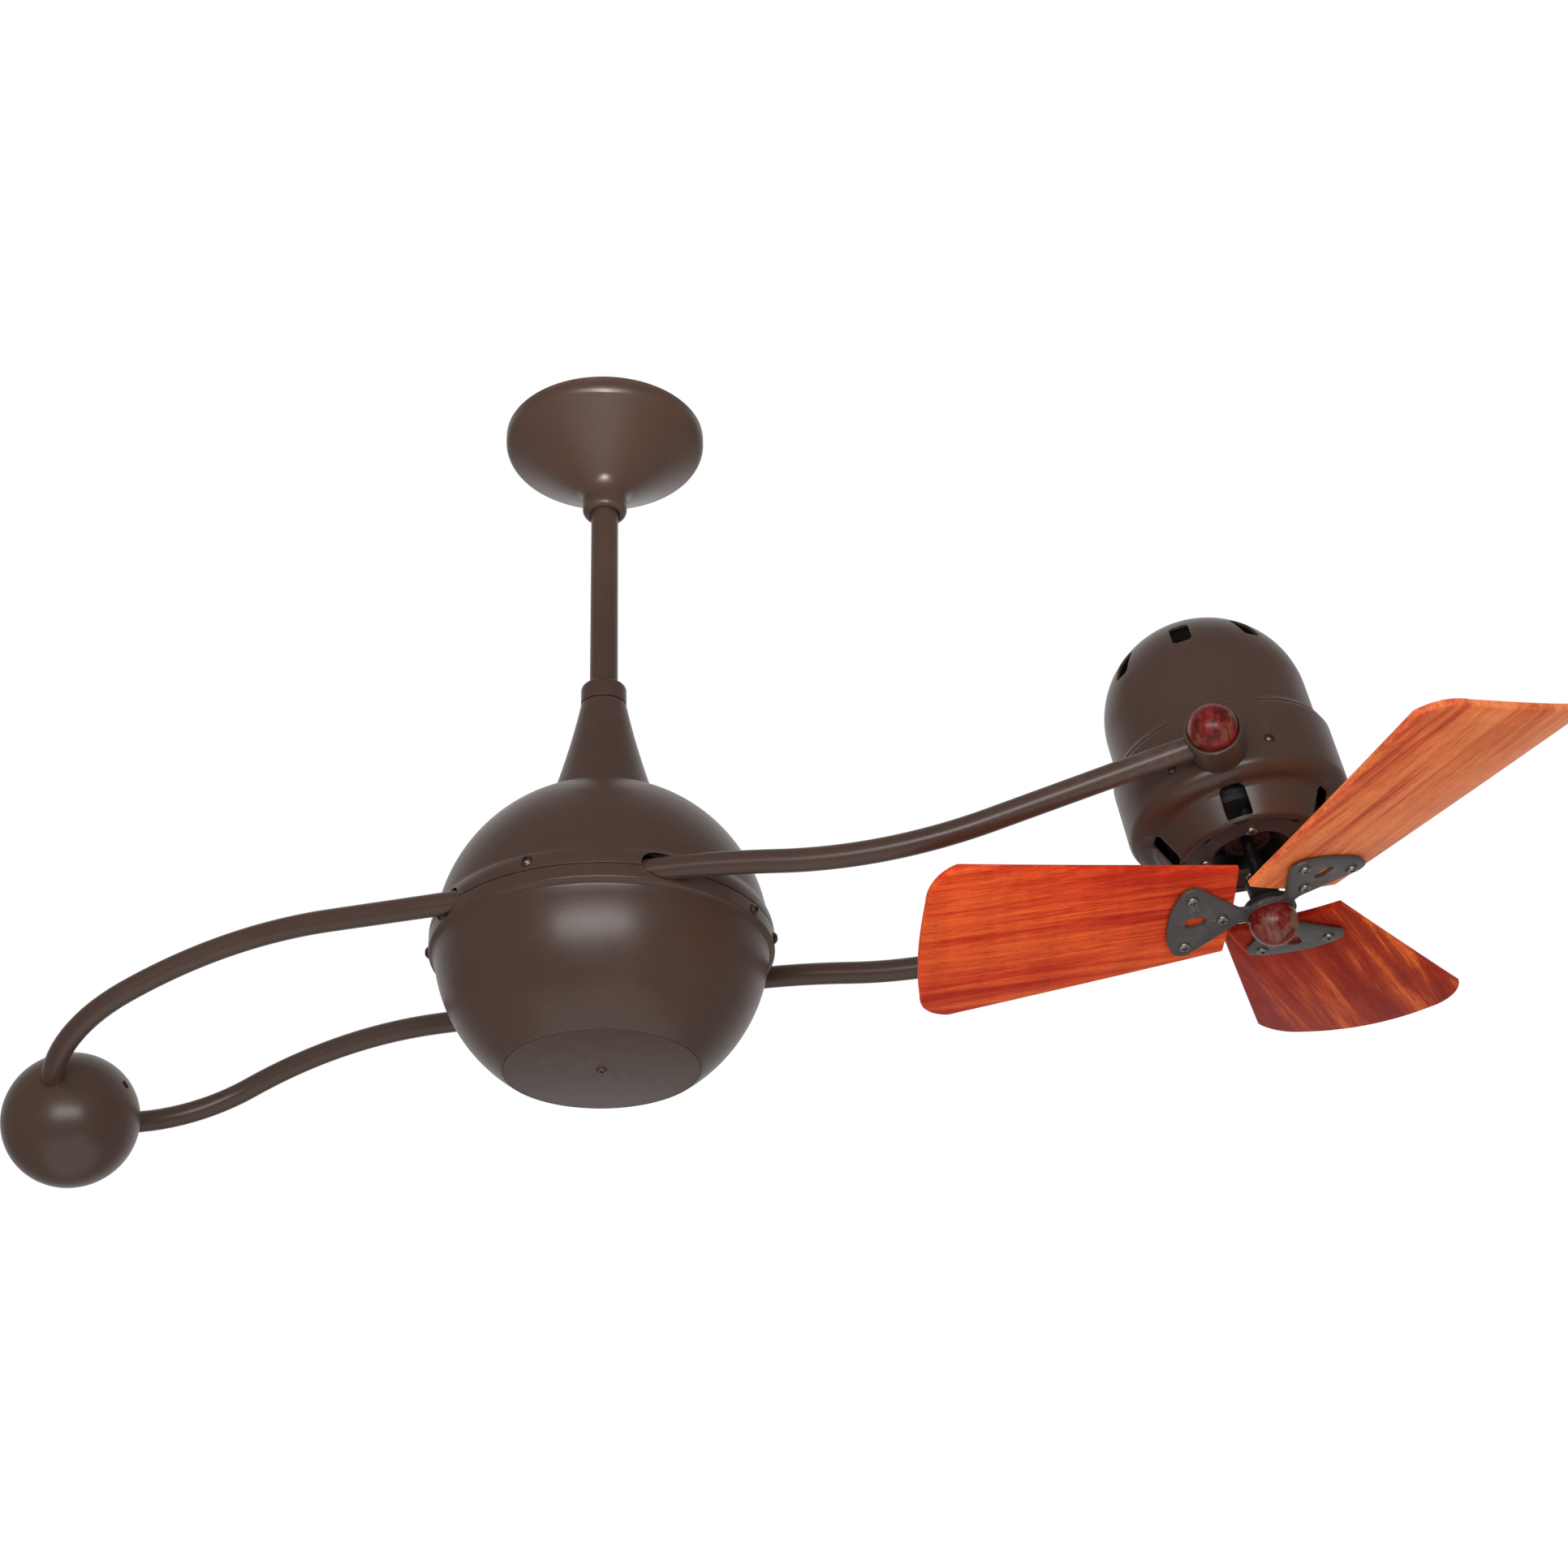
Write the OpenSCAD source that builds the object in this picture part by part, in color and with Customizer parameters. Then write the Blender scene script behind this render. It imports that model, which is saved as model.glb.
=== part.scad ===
// Ceiling fan with one tilting fan head, carried on two curved arm tubes that turn slowly
// about a downrod, with a counterweight ball on the far side.
// Origin: centre of the ceiling face. +Z up, +X along the arms towards the fan head.

/* [Drop] */
// Ceiling face down to the seam of the round body
drop = 407; // [340:1:900]
// Height of the hanger bolt below the ceiling face
hang_depth = 28; // [26:1:34]
// Outer radius of the downrod
rod_r = 9.5; // [8:0.1:10]
// Wall of the downrod
rod_wall = 1.6; // [1.2:0.1:2.4]

/* [Canopy] */
// Radius of the canopy at the ceiling
canopy_r = 71; // [64:1:90]
// Depth of the dish, down to its neck
canopy_depth = 56; // [52:1:70]
// Wall of the dish
canopy_wall = 1.2; // [0.8:0.1:2]
// Straight lip of the dish at the ceiling
canopy_lip = 5; // [2:0.5:8]
// Radius that rounds the lip into the dish
canopy_round = 9; // [5:0.5:14]
// Radius of the hollow curve at the neck
canopy_flare = 14; // [8:1:20]
// Height of the ring nut under the dish
ring_h = 11.5; // [9:0.5:16]

/* [Ceiling bracket] */
// Length of the bracket bar
bar_l = 94; // [86:1:110]
// Width of the bracket bar
bar_w = 30; // [26:1:36]
// Thickness of the bracket bar
bar_t = 2.5; // [2:0.1:4]
// Distance between the two ceiling screw slots
slot_pitch = 70; // [68:0.5:72]
// Width of each ceiling screw slot
slot_w = 5.5; // [4.5:0.1:6.5]
// Length of each ceiling screw slot
slot_l = 12; // [8:0.5:14]
// Thickness of the two ears
ear_t = 3; // [2.5:0.1:4]
// Radius of the hanger bolt
bolt_r = 4; // [3:0.1:4.5]

/* [Round body] */
// Outer radius of the round body
body_r = 107; // [105:0.5:116]
// Wall of its two spun shells
shell_wall = 1.5; // [1:0.1:2]
// How far the joining bands stand out past the round
band_step = 3; // [2.6:0.1:4]
// Radius of the upper band's rounded face
band_swell = 18.8; // [16:0.2:24]
// Height of the band on the upper shell
upper_band = 13.4; // [12:0.2:18]
// Height of the band on the lower shell
lower_band = 9.5; // [8:0.2:14]
// Gap between the two shells at the seam
seam_gap = 0.5; // [0.3:0.1:1]
// Angle below the seam at which the flat bottom cuts the round body
flat_a = 54.4; // [50:0.2:58]
// Thickness of the bottom cap
cap_t = 2; // [1.5:0.1:3]
// Height of the cone top above the seam
cone_top = 178.6; // [160:0.2:200]
// Radius of the cone at its top
cone_r = 15.4; // [14.6:0.1:18]
// Radius of the cone at its foot
foot_r = 35.5; // [33:0.5:40]
// Height of the rod collar above the cone
collar_h = 14.5; // [12:0.5:20]

/* [Arms] */
// Outer radius of the arm tubes
tube_r = 7.2; // [6:0.1:8]
// Wall of the arm tubes
tube_wall = 1.4; // [1:0.1:2]
// Distance of the tubes' centre lines from the fan head's side
arm_gap = 15.5; // [15:0.5:18]
// Height of the tubes above the seam inside the body
arm_h = 1; // [0:0.1:2]
// Length of the straight middle of each tube, to one side
arm_mid = 24; // [24:1:32]
// Distance from the downrod to the tilt axis
pivot_x = 406; // [370:1:460]
// Radius of the long bend that takes the tubes down
dip_r = 700; // [600:10:900]
// Angle at which the tubes run down
dip_a = 9.1; // [6:0.1:10]
// Radius of the bend that lifts them to the head
lift_r = 360; // [320:5:440]
// Angle at which they rise to the head
lift_a = 11.9; // [10:0.1:15]
// Inward angle of the tubes on the head side
toe_a = 0.6; // [0.4:0.1:0.8]
// Radius of the slight bend up on the ball side
rise_r = 800; // [700:10:900]
// Angle at which the tubes rise on the ball side
rise_a = 1.9; // [1:0.1:3]
// Length of that rise
rise_l = 100; // [85:1:110]
// Radius of the bend over to the ball
over_r = 341; // [300:1:380]
// Angle at which they run down to the ball
fall_a = 22.3; // [18:0.1:26]
// Radius of the sweep into the ball
sweep_r = 98; // [94:1:102]
// Angle of that sweep, to the tube's end inside the ball
sweep_a = 75; // [70:1:78]

/* [Counterweight] */
// Radius of the counterweight ball
ball_r = 44.6; // [40:0.2:50]
// Distance from the tubes' inner ends back to the ball's centre
ball_back = 3.2; // [0:0.1:8]
// Depth of the ball's centre below the tubes
ball_drop = 8; // [4:0.5:10]

/* [Fan head] */
// Tilt of the head from straight down, as shown
head_tilt = 8.5; // [0:0.5:30]
// Radius of the dome cover
dome_r = 62.5; // [60:0.5:64]
// Height of the dome's centre above the tilt axis
dome_h = 61.6; // [50:0.2:70]
// Radius of the motor cup's band
cup_r = 67.5; // [67:0.1:69]
// Wall of the dome cover and of the motor cup
cup_wall = 1.5; // [1.2:0.1:2]
// Height of the seam between dome and motor cup above the tilt axis
cup_top = 28.5; // [25:0.5:34]
// Depth of the motor cup's rim below the tilt axis
cup_depth = 38; // [36:0.5:44]
// Radius of the neck where it leaves the shoulder
neck_r = 52.5; // [50:0.5:55]
// Radius of the rim
rim_r = 46; // [44:0.5:48]
// Number of vents round the dome
vents = 8; // [4:1:12]
// Number of vents round the neck
neck_vents = 5; // [4:1:8]
// Width of a vent in the dome
vent_w = 12; // [8:0.5:14]
// Width of a vent in the neck
neck_vent_w = 15.5; // [10:0.5:18]

/* [Tilt joint] */
// Outer radius of the pivot cups
pivot_r = 16.9; // [16:0.1:19]
// Length of the pivot cups past and before the tubes, in all
pivot_l = 22; // [21.5:0.5:27]
// Radius of the wooden ball caps
burl_r = 14.5; // [13:0.1:14.6]
// Radius of the tilt bolts
tilt_bolt_r = 4; // [3:0.1:4.5]

/* [Fan rotor] */
// Depth of the blades' lower face below the tilt axis
blade_depth = 75.4; // [68:0.2:90]
// Distance from the rotor axis to the blade's root
root_x = 22.7; // [20:0.1:30]
// Distance from the rotor axis to the blade's tip
tip_x = 210; // [150:1:240]
// Width of the blade at its root
root_w = 74; // [66:1:84]
// Width of the blade at its tip
tip_w = 135; // [90:1:146]
// Rounding of the blade's tip corners
tip_round = 25; // [6:0.5:30]
// How far the tip edge bows out
tip_bow = 8; // [1:0.5:10]
// Radius of the blade's curve across its width
camber_r = 326; // [200:2:600]
// Thickness of the blade
blade_t = 5; // [4:0.5:7]
// Pitch of the blades
pitch = 10.3; // [4:0.1:14]
// Turn of the first blade about the rotor axis, as shown
blade_turn = 198.9; // [0:0.1:360]
// Number of blades
blades = 3; // [3:1:3]
// Thickness of the blade irons
iron_t = 2.5; // [2:0.1:3.5]
// Radius of the wooden ball finial
finial_r = 14.4; // [13:0.1:14.6]

/* [Drive] */
// Tooth module of the drive gears
gear_module = 0.9; // [0.8:0.05:1]
// Teeth on the fixed sun gear
sun_teeth = 54; // [54:18:54]
// Teeth on the drive pinion
pinion_teeth = 18; // [18:18:18]
// Width of the gears' teeth
gear_w = 8; // [5:0.5:10]
// Radius of the spindle inside the bearings
spindle_r = 7.5; // [7:0.1:8]

/* [Clearances] */
// Radial clearance of a running fit
run = 0.05; // [0.03:0.01:0.08]
// Clearance between parts that are fixed together
fit = 0.1; // [0.05:0.01:0.2]
// Gap between parts that turn past each other
gap = 0.8; // [0.5:0.1:1.2]

/* [Hidden] */
$fn = 64;
tiny = 0.01;
arm_y = cup_r + arm_gap;                // half the distance between the two tubes
flat_depth = body_r * sin(flat_a);      // depth of the flat bottom below the seam

// Points of an arc about (cx, cy), from angle a to angle b
function arc(cx, cy, r, a, b, n = 10) =
    [for (i = [0:n]) [cx + r * cos(a + (b - a) * i / n), cy + r * sin(a + (b - a) * i / n)]];

// A path outwards and a second one back, as one closed outline
function back(points) = [for (i = [len(points) - 1:-1:0]) points[i]];

module at_seam() { translate([0, 0, -drop]) children(); }

module ring(r_out, r_in, h) {
    difference() {
        cylinder(r = r_out, h = h);
        translate([0, 0, -1]) cylinder(r = r_in, h = h + 2);
    }
}

// Copies of the children at equal turns about Z
module around(n, start = 0) { for (i = [0:n - 1]) rotate([0, 0, start + 360 * i / n]) children(); }

// Round-head screw along -Z: the head sits above z = 0, the shank below it
module round_screw(head_r, head_h, shank_r, shank_l) {
    difference() {
        union() {
            intersection() {
                translate([0, 0, head_h - dome_of(head_r, head_h)])
                    sphere(r = dome_of(head_r, head_h));
                cylinder(r = head_r, h = head_h + 1);
            }
            translate([0, 0, -shank_l]) cylinder(r = shank_r, h = shank_l + tiny);
        }
        for (a = [0, 90]) rotate([0, 0, a])
            translate([-head_r * 0.55, -head_r * 0.12, head_h * 0.45])
                cube([head_r * 1.1, head_r * 0.24, head_h]);
    }
}
function dome_of(r, h) = (r * r + h * h) / (2 * h);

// Socket-head screw along -Z
module socket_screw(head_r, head_h, shank_r, shank_l) {
    difference() {
        union() {
            cylinder(r = head_r, h = head_h);
            translate([0, 0, -shank_l]) cylinder(r = shank_r, h = shank_l + tiny);
        }
        translate([0, 0, head_h * 0.4]) cylinder(r = head_r * 0.55, h = head_h, $fn = 6);
    }
}

// ---------- ceiling fixture ----------

ear_in = rod_r + 1.5;                   // inner face of each ear from the centre
ear_w = 22;
sleeve_in = rod_r + 2.3;                // bore of the threaded sleeve round the downrod
sleeve_out = sleeve_in + 2.4;
neck_in = sleeve_out + fit;             // bore of the dish neck and of the ring nut
neck_out = neck_in + canopy_wall;
sleeve_top = canopy_depth - 11;
sleeve_low = canopy_depth + ring_h * 0.6;
bolt_head_h = 5.3;
bolt_head_r = bolt_r * 1.8;

module ceiling_bracket() {
    color("silver") difference() {
        union() {
            translate([-bar_l / 2, -bar_w / 2, -bar_t]) cube([bar_l, bar_w, bar_t]);
            for (s = [-1, 1])
                translate([s > 0 ? ear_in : -ear_in - ear_t, -ear_w / 2, -sleeve_top - 2])
                    cube([ear_t, ear_w, sleeve_top + 2 - bar_t / 2]);
            translate([0, 0, -sleeve_low])
                ring(sleeve_out, sleeve_in, sleeve_low - sleeve_top);
        }
        for (s = [-1, 1]) translate([s * slot_pitch / 2, 0, -bar_t - 1]) {
            cube_len = slot_l - slot_w;
            translate([-cube_len / 2, -slot_w / 2, 0]) cube([cube_len, slot_w, bar_t + 2]);
            for (e = [-1, 1]) translate([e * cube_len / 2, 0, 0])
                cylinder(d = slot_w, h = bar_t + 2);
        }
        translate([-bar_l, 0, -hang_depth]) rotate([0, 90, 0])
            cylinder(r = bolt_r + fit, h = 2 * bar_l);
        translate([0, 0, -sleeve_low - 1]) cylinder(r = sleeve_in, h = sleeve_low - bar_t + 1);
    }
}

module hanger_bolt() {
    reach = ear_in + ear_t;
    color("silver") translate([0, 0, -hang_depth]) rotate([0, 90, 0]) {
        translate([0, 0, -reach - 9]) cylinder(r = bolt_r, h = 2 * reach + 9 + tiny);
        translate([0, 0, reach]) cylinder(r = bolt_head_r, h = bolt_head_h, $fn = 6);
    }
}

module hanger_nut() {
    color("silver") translate([-ear_in - ear_t - 6.5, 0, -hang_depth]) rotate([0, 90, 0])
        difference() {
            cylinder(r = bolt_head_r, h = 6.5, $fn = 6);
            translate([0, 0, -1]) cylinder(r = bolt_r + fit, h = 9);
        }
}

// The line between the lip round and the neck flare touches both arcs
lip_c = [canopy_r - canopy_round, -canopy_lip];
flare_c = [neck_out + canopy_flare, -canopy_depth];
lip_flare = lip_c - flare_c;
dish_slope = atan2(lip_flare[1], lip_flare[0])
    - asin((canopy_round + canopy_flare) / norm(lip_flare));

module canopy() {
    w = canopy_wall;
    outside = concat([[canopy_r, 0]],
        arc(lip_c[0], lip_c[1], canopy_round, 0, dish_slope - 90),
        arc(flare_c[0], flare_c[1], canopy_flare, dish_slope + 90, 180));
    inside = concat([[canopy_r - w, 0]],
        arc(lip_c[0], lip_c[1], canopy_round - w, 0, dish_slope - 90),
        arc(flare_c[0], flare_c[1], canopy_flare + w, dish_slope + 90, 180));
    color("#4e3c34") rotate_extrude() polygon(concat(outside, back(inside)));
}

module ring_nut() {
    round = 4.5;
    lip = rod_r + 2.5;
    low = -canopy_depth - ring_h;
    color("#4e3c34") rotate_extrude() polygon(concat(
        [[neck_in, -canopy_depth - fit], [neck_out, -canopy_depth - fit]],
        arc(neck_out - round, low + round, round, 0, -90, 8),
        [[lip, low], [lip, low + 2.5], [neck_in, low + 2.5 + neck_in - lip]]));
}

// ---------- downrod and fixed spindle ----------

rod_in = rod_r - rod_wall;
rod_low = 56;                           // lower end of the downrod above the seam
rod_top = hang_depth - 11;
upper_bearing_h = 36;                   // height of the upper bearing above the seam
bearing_w = 9;
bearing_r = 16;
lower_bearing_h = -26;
plug_l = 30;                            // length of the spindle inside the downrod

module downrod() {
    color("#4e3c34") difference() {
        translate([0, 0, -drop + rod_low]) ring(rod_r, rod_in, drop - rod_low - rod_top);
        translate([-30, 0, -hang_depth]) rotate([0, 90, 0]) cylinder(r = bolt_r + run, h = 60);
        at_seam() translate([0, 30, rod_low + plug_l / 2]) rotate([90, 0, 0])
            cylinder(r = 2.5 + fit, h = 60);
    }
}

collar_foot = cone_top + gap;

module rod_collar() {
    round = 3.4;
    bore = rod_r + fit;
    color("#4e3c34") at_seam() difference() {
        rotate_extrude() polygon(concat(
            [[bore, collar_foot], [cone_r - 0.6, collar_foot], [cone_r, collar_foot + 0.6]],
            arc(cone_r - round, collar_foot + collar_h - round, round, 0, 90, 6),
            [[bore, collar_foot + collar_h]]));
        translate([0, bore, collar_foot + collar_h * 0.45]) rotate([-90, 0, 0])
            translate([0, 0, -1]) cylinder(r = 2 + fit, h = 12);
    }
}

module collar_screw() {
    color("silver") at_seam()
        translate([0, rod_r + fit, collar_foot + collar_h * 0.45]) rotate([-90, 0, 0])
            difference() {
                cylinder(r = 2, h = cone_r - rod_r - 0.8);
                translate([0, 0, cone_r - rod_r - 3]) cylinder(r = 1.1, h = 4, $fn = 6);
            }
}

spindle_low = lower_bearing_h - 10;

module spindle() {
    color("gray") at_seam() difference() {
        union() {
            translate([0, 0, spindle_low])
                cylinder(r = spindle_r, h = upper_bearing_h + bearing_w - spindle_low + 1);
            translate([0, 0, upper_bearing_h + bearing_w + 0.3])
                cylinder(r = rod_r, h = rod_low - upper_bearing_h - bearing_w - 0.3);
            translate([0, 0, rod_low - 1]) cylinder(r = rod_in - fit, h = plug_l + 1);
        }
        translate([0, 0, -3]) cylinder(r = 3.5, h = rod_low + plug_l + 10);
        translate([0, 30, rod_low + plug_l / 2]) rotate([90, 0, 0])
            cylinder(r = 2.5 + fit, h = 60);
        translate([0, 0, 4]) rotate([0, 90, 0]) cylinder(r = 2.5, h = 20);
    }
}

module spindle_pin() {
    color("silver") at_seam() translate([0, rod_r - 0.2, rod_low + plug_l / 2])
        rotate([90, 0, 0]) cylinder(r = 2.5, h = 2 * rod_r - 0.4);
}

module spindle_nut() {
    color("silver") at_seam() translate([0, 0, lower_bearing_h - 8]) difference() {
        union() {
            cylinder(r = 13, h = 7, $fn = 6);
            translate([0, 0, 7 - tiny]) cylinder(r = 10, h = 0.9);
        }
        translate([0, 0, -1]) cylinder(r = spindle_r + fit, h = 12);
    }
}

// Involute spur gear outline, standing on z = 0
function involute(rb, r) = let (a = acos(min(1, rb / r))) [r, tan(a) * 180 / PI - a];
function tooth(m, n, slack) = let (
    rp = m * n / 2, rb = rp * cos(20), r_low = rp - 1.2 * m, r_high = rp + 0.95 * m,
    half = 90 / n - slack / rp * 90 / PI + involute(rb, rp)[1],
    flank = [for (i = [0:4]) involute(rb, max(rb, r_low) + (r_high - max(rb, r_low)) * i / 4)])
    concat([[r_low, -half]], [for (p = flank) [p[0], -half + p[1]]],
        [for (i = [4:-1:0]) [flank[i][0], half - flank[i][1]]], [[r_low, half]]);

module spur_gear(teeth, width, bore, slack = 0.12) {
    one = tooth(gear_module, teeth, slack);
    outline = [for (k = [0:teeth - 1]) for (p = one)
        [p[0] * cos(p[1] + 360 * k / teeth), p[0] * sin(p[1] + 360 * k / teeth)]];
    difference() {
        linear_extrude(width) polygon(outline);
        if (bore > 0) translate([0, 0, -1]) cylinder(r = bore, h = width + 2);
    }
}

gear_h = 17;                            // height of the gears above the seam
gear_centres = gear_module * (sun_teeth + pinion_teeth) / 2;

module sun_gear() {
    color("goldenrod") at_seam() translate([0, 0, gear_h]) {
        spur_gear(sun_teeth, gear_w, spindle_r + fit);
        translate([0, 0, gear_w - tiny]) ring(12, spindle_r + fit, 6);
    }
}

slip_r = 12;

module slip_ring() {
    color("orange") at_seam() translate([0, 0, -7]) rotate_extrude() polygon(concat(
        [[spindle_r + fit, 0]],
        [for (k = [0:2]) each [[slip_r, k * 6], [slip_r, k * 6 + 2],
            [slip_r - 1.2, k * 6 + 2.4], [slip_r - 1.2, k * 6 + 5.6]]],
        [[slip_r, 18], [slip_r, 20], [spindle_r + fit, 20]]));
}

// ---------- turning body: shells ----------

shell_in = body_r - shell_wall;
band_r = body_r + band_step;
band_in = band_r - shell_wall;
crown_in = foot_r - 2.5;                // opening in the crown, under the cone's foot
swell_h = 2;                            // height of the upper band's widest line
function band_at(h) = band_r - band_swell + round_at(band_swell, h - swell_h);
tube_hole = tube_r + 2.1;               // radius of the holes that the tubes pass through

function round_at(r, x) = sqrt(r * r - x * x);

module tube_holes() {
    for (s = [-1, 1]) translate([-body_r - 10, s * arm_y, arm_h + 0.5])
        rotate([0, 90, 0]) cylinder(r = tube_hole, h = 2 * body_r + 20);
}

cone_foot = round_at(body_r, foot_r);
function cone_at(h) = let (t = (cone_top - h) / (cone_top - cone_foot))
    cone_r + (foot_r - cone_r) * (0.75 * t + 0.25 * t * t);

module cone() {
    wall = 2;
    bush_r = rod_r + 3.1;
    bush_foot = cone_top - 20;
    steps = 8;
    side = [for (i = [0:steps]) cone_top + (cone_foot - cone_top) * i / steps];
    inner = [for (i = [0:steps]) bush_foot - 4 + (cone_foot - bush_foot + 4) * i / steps];
    color("#4e3c34") at_seam() rotate_extrude() polygon(concat(
        [[bush_r, cone_top]],
        [for (h = side) [cone_at(h), h]],
        [[crown_in - 0.3, round_at(body_r, crown_in) + 0.2], [crown_in - 0.3, cone_foot - 4],
         [crown_in - 0.3 - wall, cone_foot - 4]],
        back([for (h = inner) [min(cone_at(h), crown_in - 0.3) - wall, h]]),
        [[bush_r, bush_foot]]));
}

module cone_bush() {
    color("ivory") at_seam() translate([0, 0, cone_top - 18])
        ring(rod_r + 3.1 - fit, rod_r + run, 17);
}

module upper_shell() {
    edge = upper_band - 1.5;
    color("#4e3c34") at_seam() difference() {
        rotate_extrude() polygon(concat(
            [[band_r, seam_gap / 2]],
            arc(band_r - band_swell, swell_h, band_swell, 0,
                asin((upper_band - 0.5 - swell_h) / band_swell), 8),
            arc(0, 0, body_r, asin((upper_band + 0.6) / body_r), acos(crown_in / body_r), 24),
            arc(0, 0, shell_in, acos(crown_in / shell_in), asin(upper_band / shell_in), 24),
            [[band_in - 2, edge - shell_wall - 1], [band_in, 2 * swell_h],
             [band_in, seam_gap / 2]]));
        tube_holes();
        on_upper_band() band_hole();
    }
}

cap_r = round_at(shell_in, flat_depth) + 0.6;

module lower_shell() {
    edge = -lower_band;
    color("#4e3c34") at_seam() difference() {
        rotate_extrude() polygon(concat(
            [[band_r, -seam_gap / 2], [band_r, edge + 1], [band_r - 1, edge]],
            arc(0, 0, body_r, -asin((lower_band + 3) / body_r), -asin(flat_depth / body_r), 24),
            [[cap_r + 0.3, -flat_depth], [cap_r + 0.3, -flat_depth + cap_t + 0.2]],
            arc(0, 0, shell_in, -asin((flat_depth - cap_t - 0.2) / shell_in),
                -asin((lower_band + 3) / shell_in), 24),
            [[band_in, edge + shell_wall], [band_in, -seam_gap / 2]]));
        tube_holes();
        on_lower_band() band_hole();
    }
}

bar_low = flat_depth - cap_t - 1;

module bottom_cap() {
    edge = 0.7;
    color("#463731") at_seam() translate([0, 0, -flat_depth]) difference() {
        rotate_extrude() polygon([[0, 0], [cap_r - edge, 0], [cap_r, edge], [cap_r, cap_t],
            [0, cap_t]]);
        translate([0, 0, -1]) cylinder(r = 2 + fit, h = cap_t + 2);
    }
}

module cap_bar() {
    color("silver") at_seam() difference() {
        intersection() {
            translate([-body_r, -8, -bar_low]) cube([2 * body_r, 16, 3]);
            sphere(r = shell_in - 0.1, $fn = 96);
        }
        translate([0, 0, -bar_low - 1]) cylinder(r = 2 + fit, h = 6);
    }
}

module cap_screw() {
    color("silver") at_seam() translate([0, 0, -flat_depth]) rotate([180, 0, 0])
        round_screw(3.4, 1.6, 2, flat_depth - bar_low + 6);
}

// Band screws: turn of each about Z, on the upper and on the lower band
upper_screws = [-94, 86];
lower_screws = [-11, 11, 160, -160];
band_screw_h = 6.6;
band_screw_low = 5;
band_screw_r = 1.5;
band_lean = asin((band_screw_h - swell_h) / band_swell);

// Children at the seats of the band screws, with +Z outwards: the upper ones lean up, so that
// they stand square on the rounded face
module on_upper_band() {
    for (a = upper_screws) rotate([0, 0, a])
        translate([band_at(band_screw_h), 0, band_screw_h]) rotate([0, 90 - band_lean, 0])
            children();
}

module on_lower_band() {
    for (a = lower_screws) rotate([0, 0, a]) translate([band_r, 0, -band_screw_low])
        rotate([0, 90, 0]) children();
}

module band_hole() { translate([0, 0, -12]) cylinder(r = band_screw_r + fit, h = 14); }

module band_screw() { round_screw(4, 2.6, band_screw_r, 7); }

module band_screws() {
    color("#8a7568") at_seam() {
        on_upper_band() band_screw();
        on_lower_band() band_screw();
    }
}

// ---------- turning body: carrier and drive ----------

carrier_floor = -14;
floor_t = 4;
floor_top = carrier_floor + floor_t;
rim_top = upper_band - 2.5;
saddle_l = 14;
saddle_x = arm_mid - saddle_l / 2;      // middle of each tube saddle
saddle_w = 2 * (tube_r + 6);
clamp_top = arm_h + tube_r + 3.5;
clamp_screw_y = tube_r + 3.1;
post_x = 50;
bridge_h = 34;
bridge_t = 4;
motor_x = -gear_centres;
hub_r = 22;
rim_in = shell_in - 3;                  // inside of the carrier's rim

module at_saddles() {
    for (sx = [-1, 1]) for (sy = [-1, 1]) translate([sx * saddle_x, sy * arm_y, 0]) children();
}

module saddle_block(low, high) {
    difference() {
        translate([-saddle_l / 2, -saddle_w / 2, low]) cube([saddle_l, saddle_w, high - low]);
        translate([-saddle_l, 0, arm_h]) rotate([0, 90, 0])
            cylinder(r = tube_r + fit, h = 2 * saddle_l);
        for (s = [-1, 1]) translate([0, s * clamp_screw_y, floor_top - 1])
            cylinder(r = 2 + fit, h = 40);
    }
}

module carrier() {
    color("lightgray") at_seam() difference() {
        union() {
            translate([0, 0, carrier_floor]) difference() {
                cylinder(r = rim_in + 0.5, h = floor_t);
                around(6, 0) translate([68, 0, -1]) cylinder(r = 13, h = floor_t + 2);
            }
            rotate_extrude() polygon([[rim_in, carrier_floor],
                [round_at(shell_in, carrier_floor) - 0.4, carrier_floor],
                [round_at(shell_in, carrier_floor) - 0.4, 3.5 - lower_band],
                [band_in - 0.2, 3.5 - lower_band], [band_in - 0.2, 2 * swell_h - 0.5],
                [band_in - 2.3, rim_top - 2],
                [shell_in - 1, rim_top], [rim_in, rim_top]]);
            translate([0, 0, lower_bearing_h])
                cylinder(r = hub_r, h = floor_top - lower_bearing_h);
            intersection() {
                at_saddles() saddle_block(floor_top - 1, arm_h - 0.1);
                translate([0, 0, -body_r]) cylinder(r = rim_in + 0.5, h = 2 * body_r);
            }
        }
        translate([0, 0, lower_bearing_h - 1]) cylinder(r = bearing_r + fit, h = bearing_w + 1);
        translate([0, 0, lower_bearing_h]) cylinder(r = 12, h = 40);
        tube_holes();
        on_upper_band() band_hole();
        on_lower_band() band_hole();
        around(3) translate([post_x, 0, carrier_floor - 1]) cylinder(r = 2.5 + fit, h = 8);
    }
}

module tube_clamps() {
    color("lightgray") at_seam() intersection() {
        at_saddles() saddle_block(arm_h + 0.1, clamp_top);
        cylinder(r = rim_in - 0.4, h = clamp_top + 1);
    }
}

module clamp_screws() {
    color("silver") at_seam() at_saddles()
        for (s = [-1, 1]) translate([0, s * clamp_screw_y, clamp_top])
            socket_screw(2.9, 3, 2, clamp_top - floor_top - 0.5);
}

module bridge_posts() {
    color("silver") at_seam() around(3) translate([post_x, 0, floor_top]) {
        cylinder(r = 5, h = bridge_h - floor_top, $fn = 6);
        translate([0, 0, -floor_t]) cylinder(r = 2.5, h = floor_t + tiny);
    }
}

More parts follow.
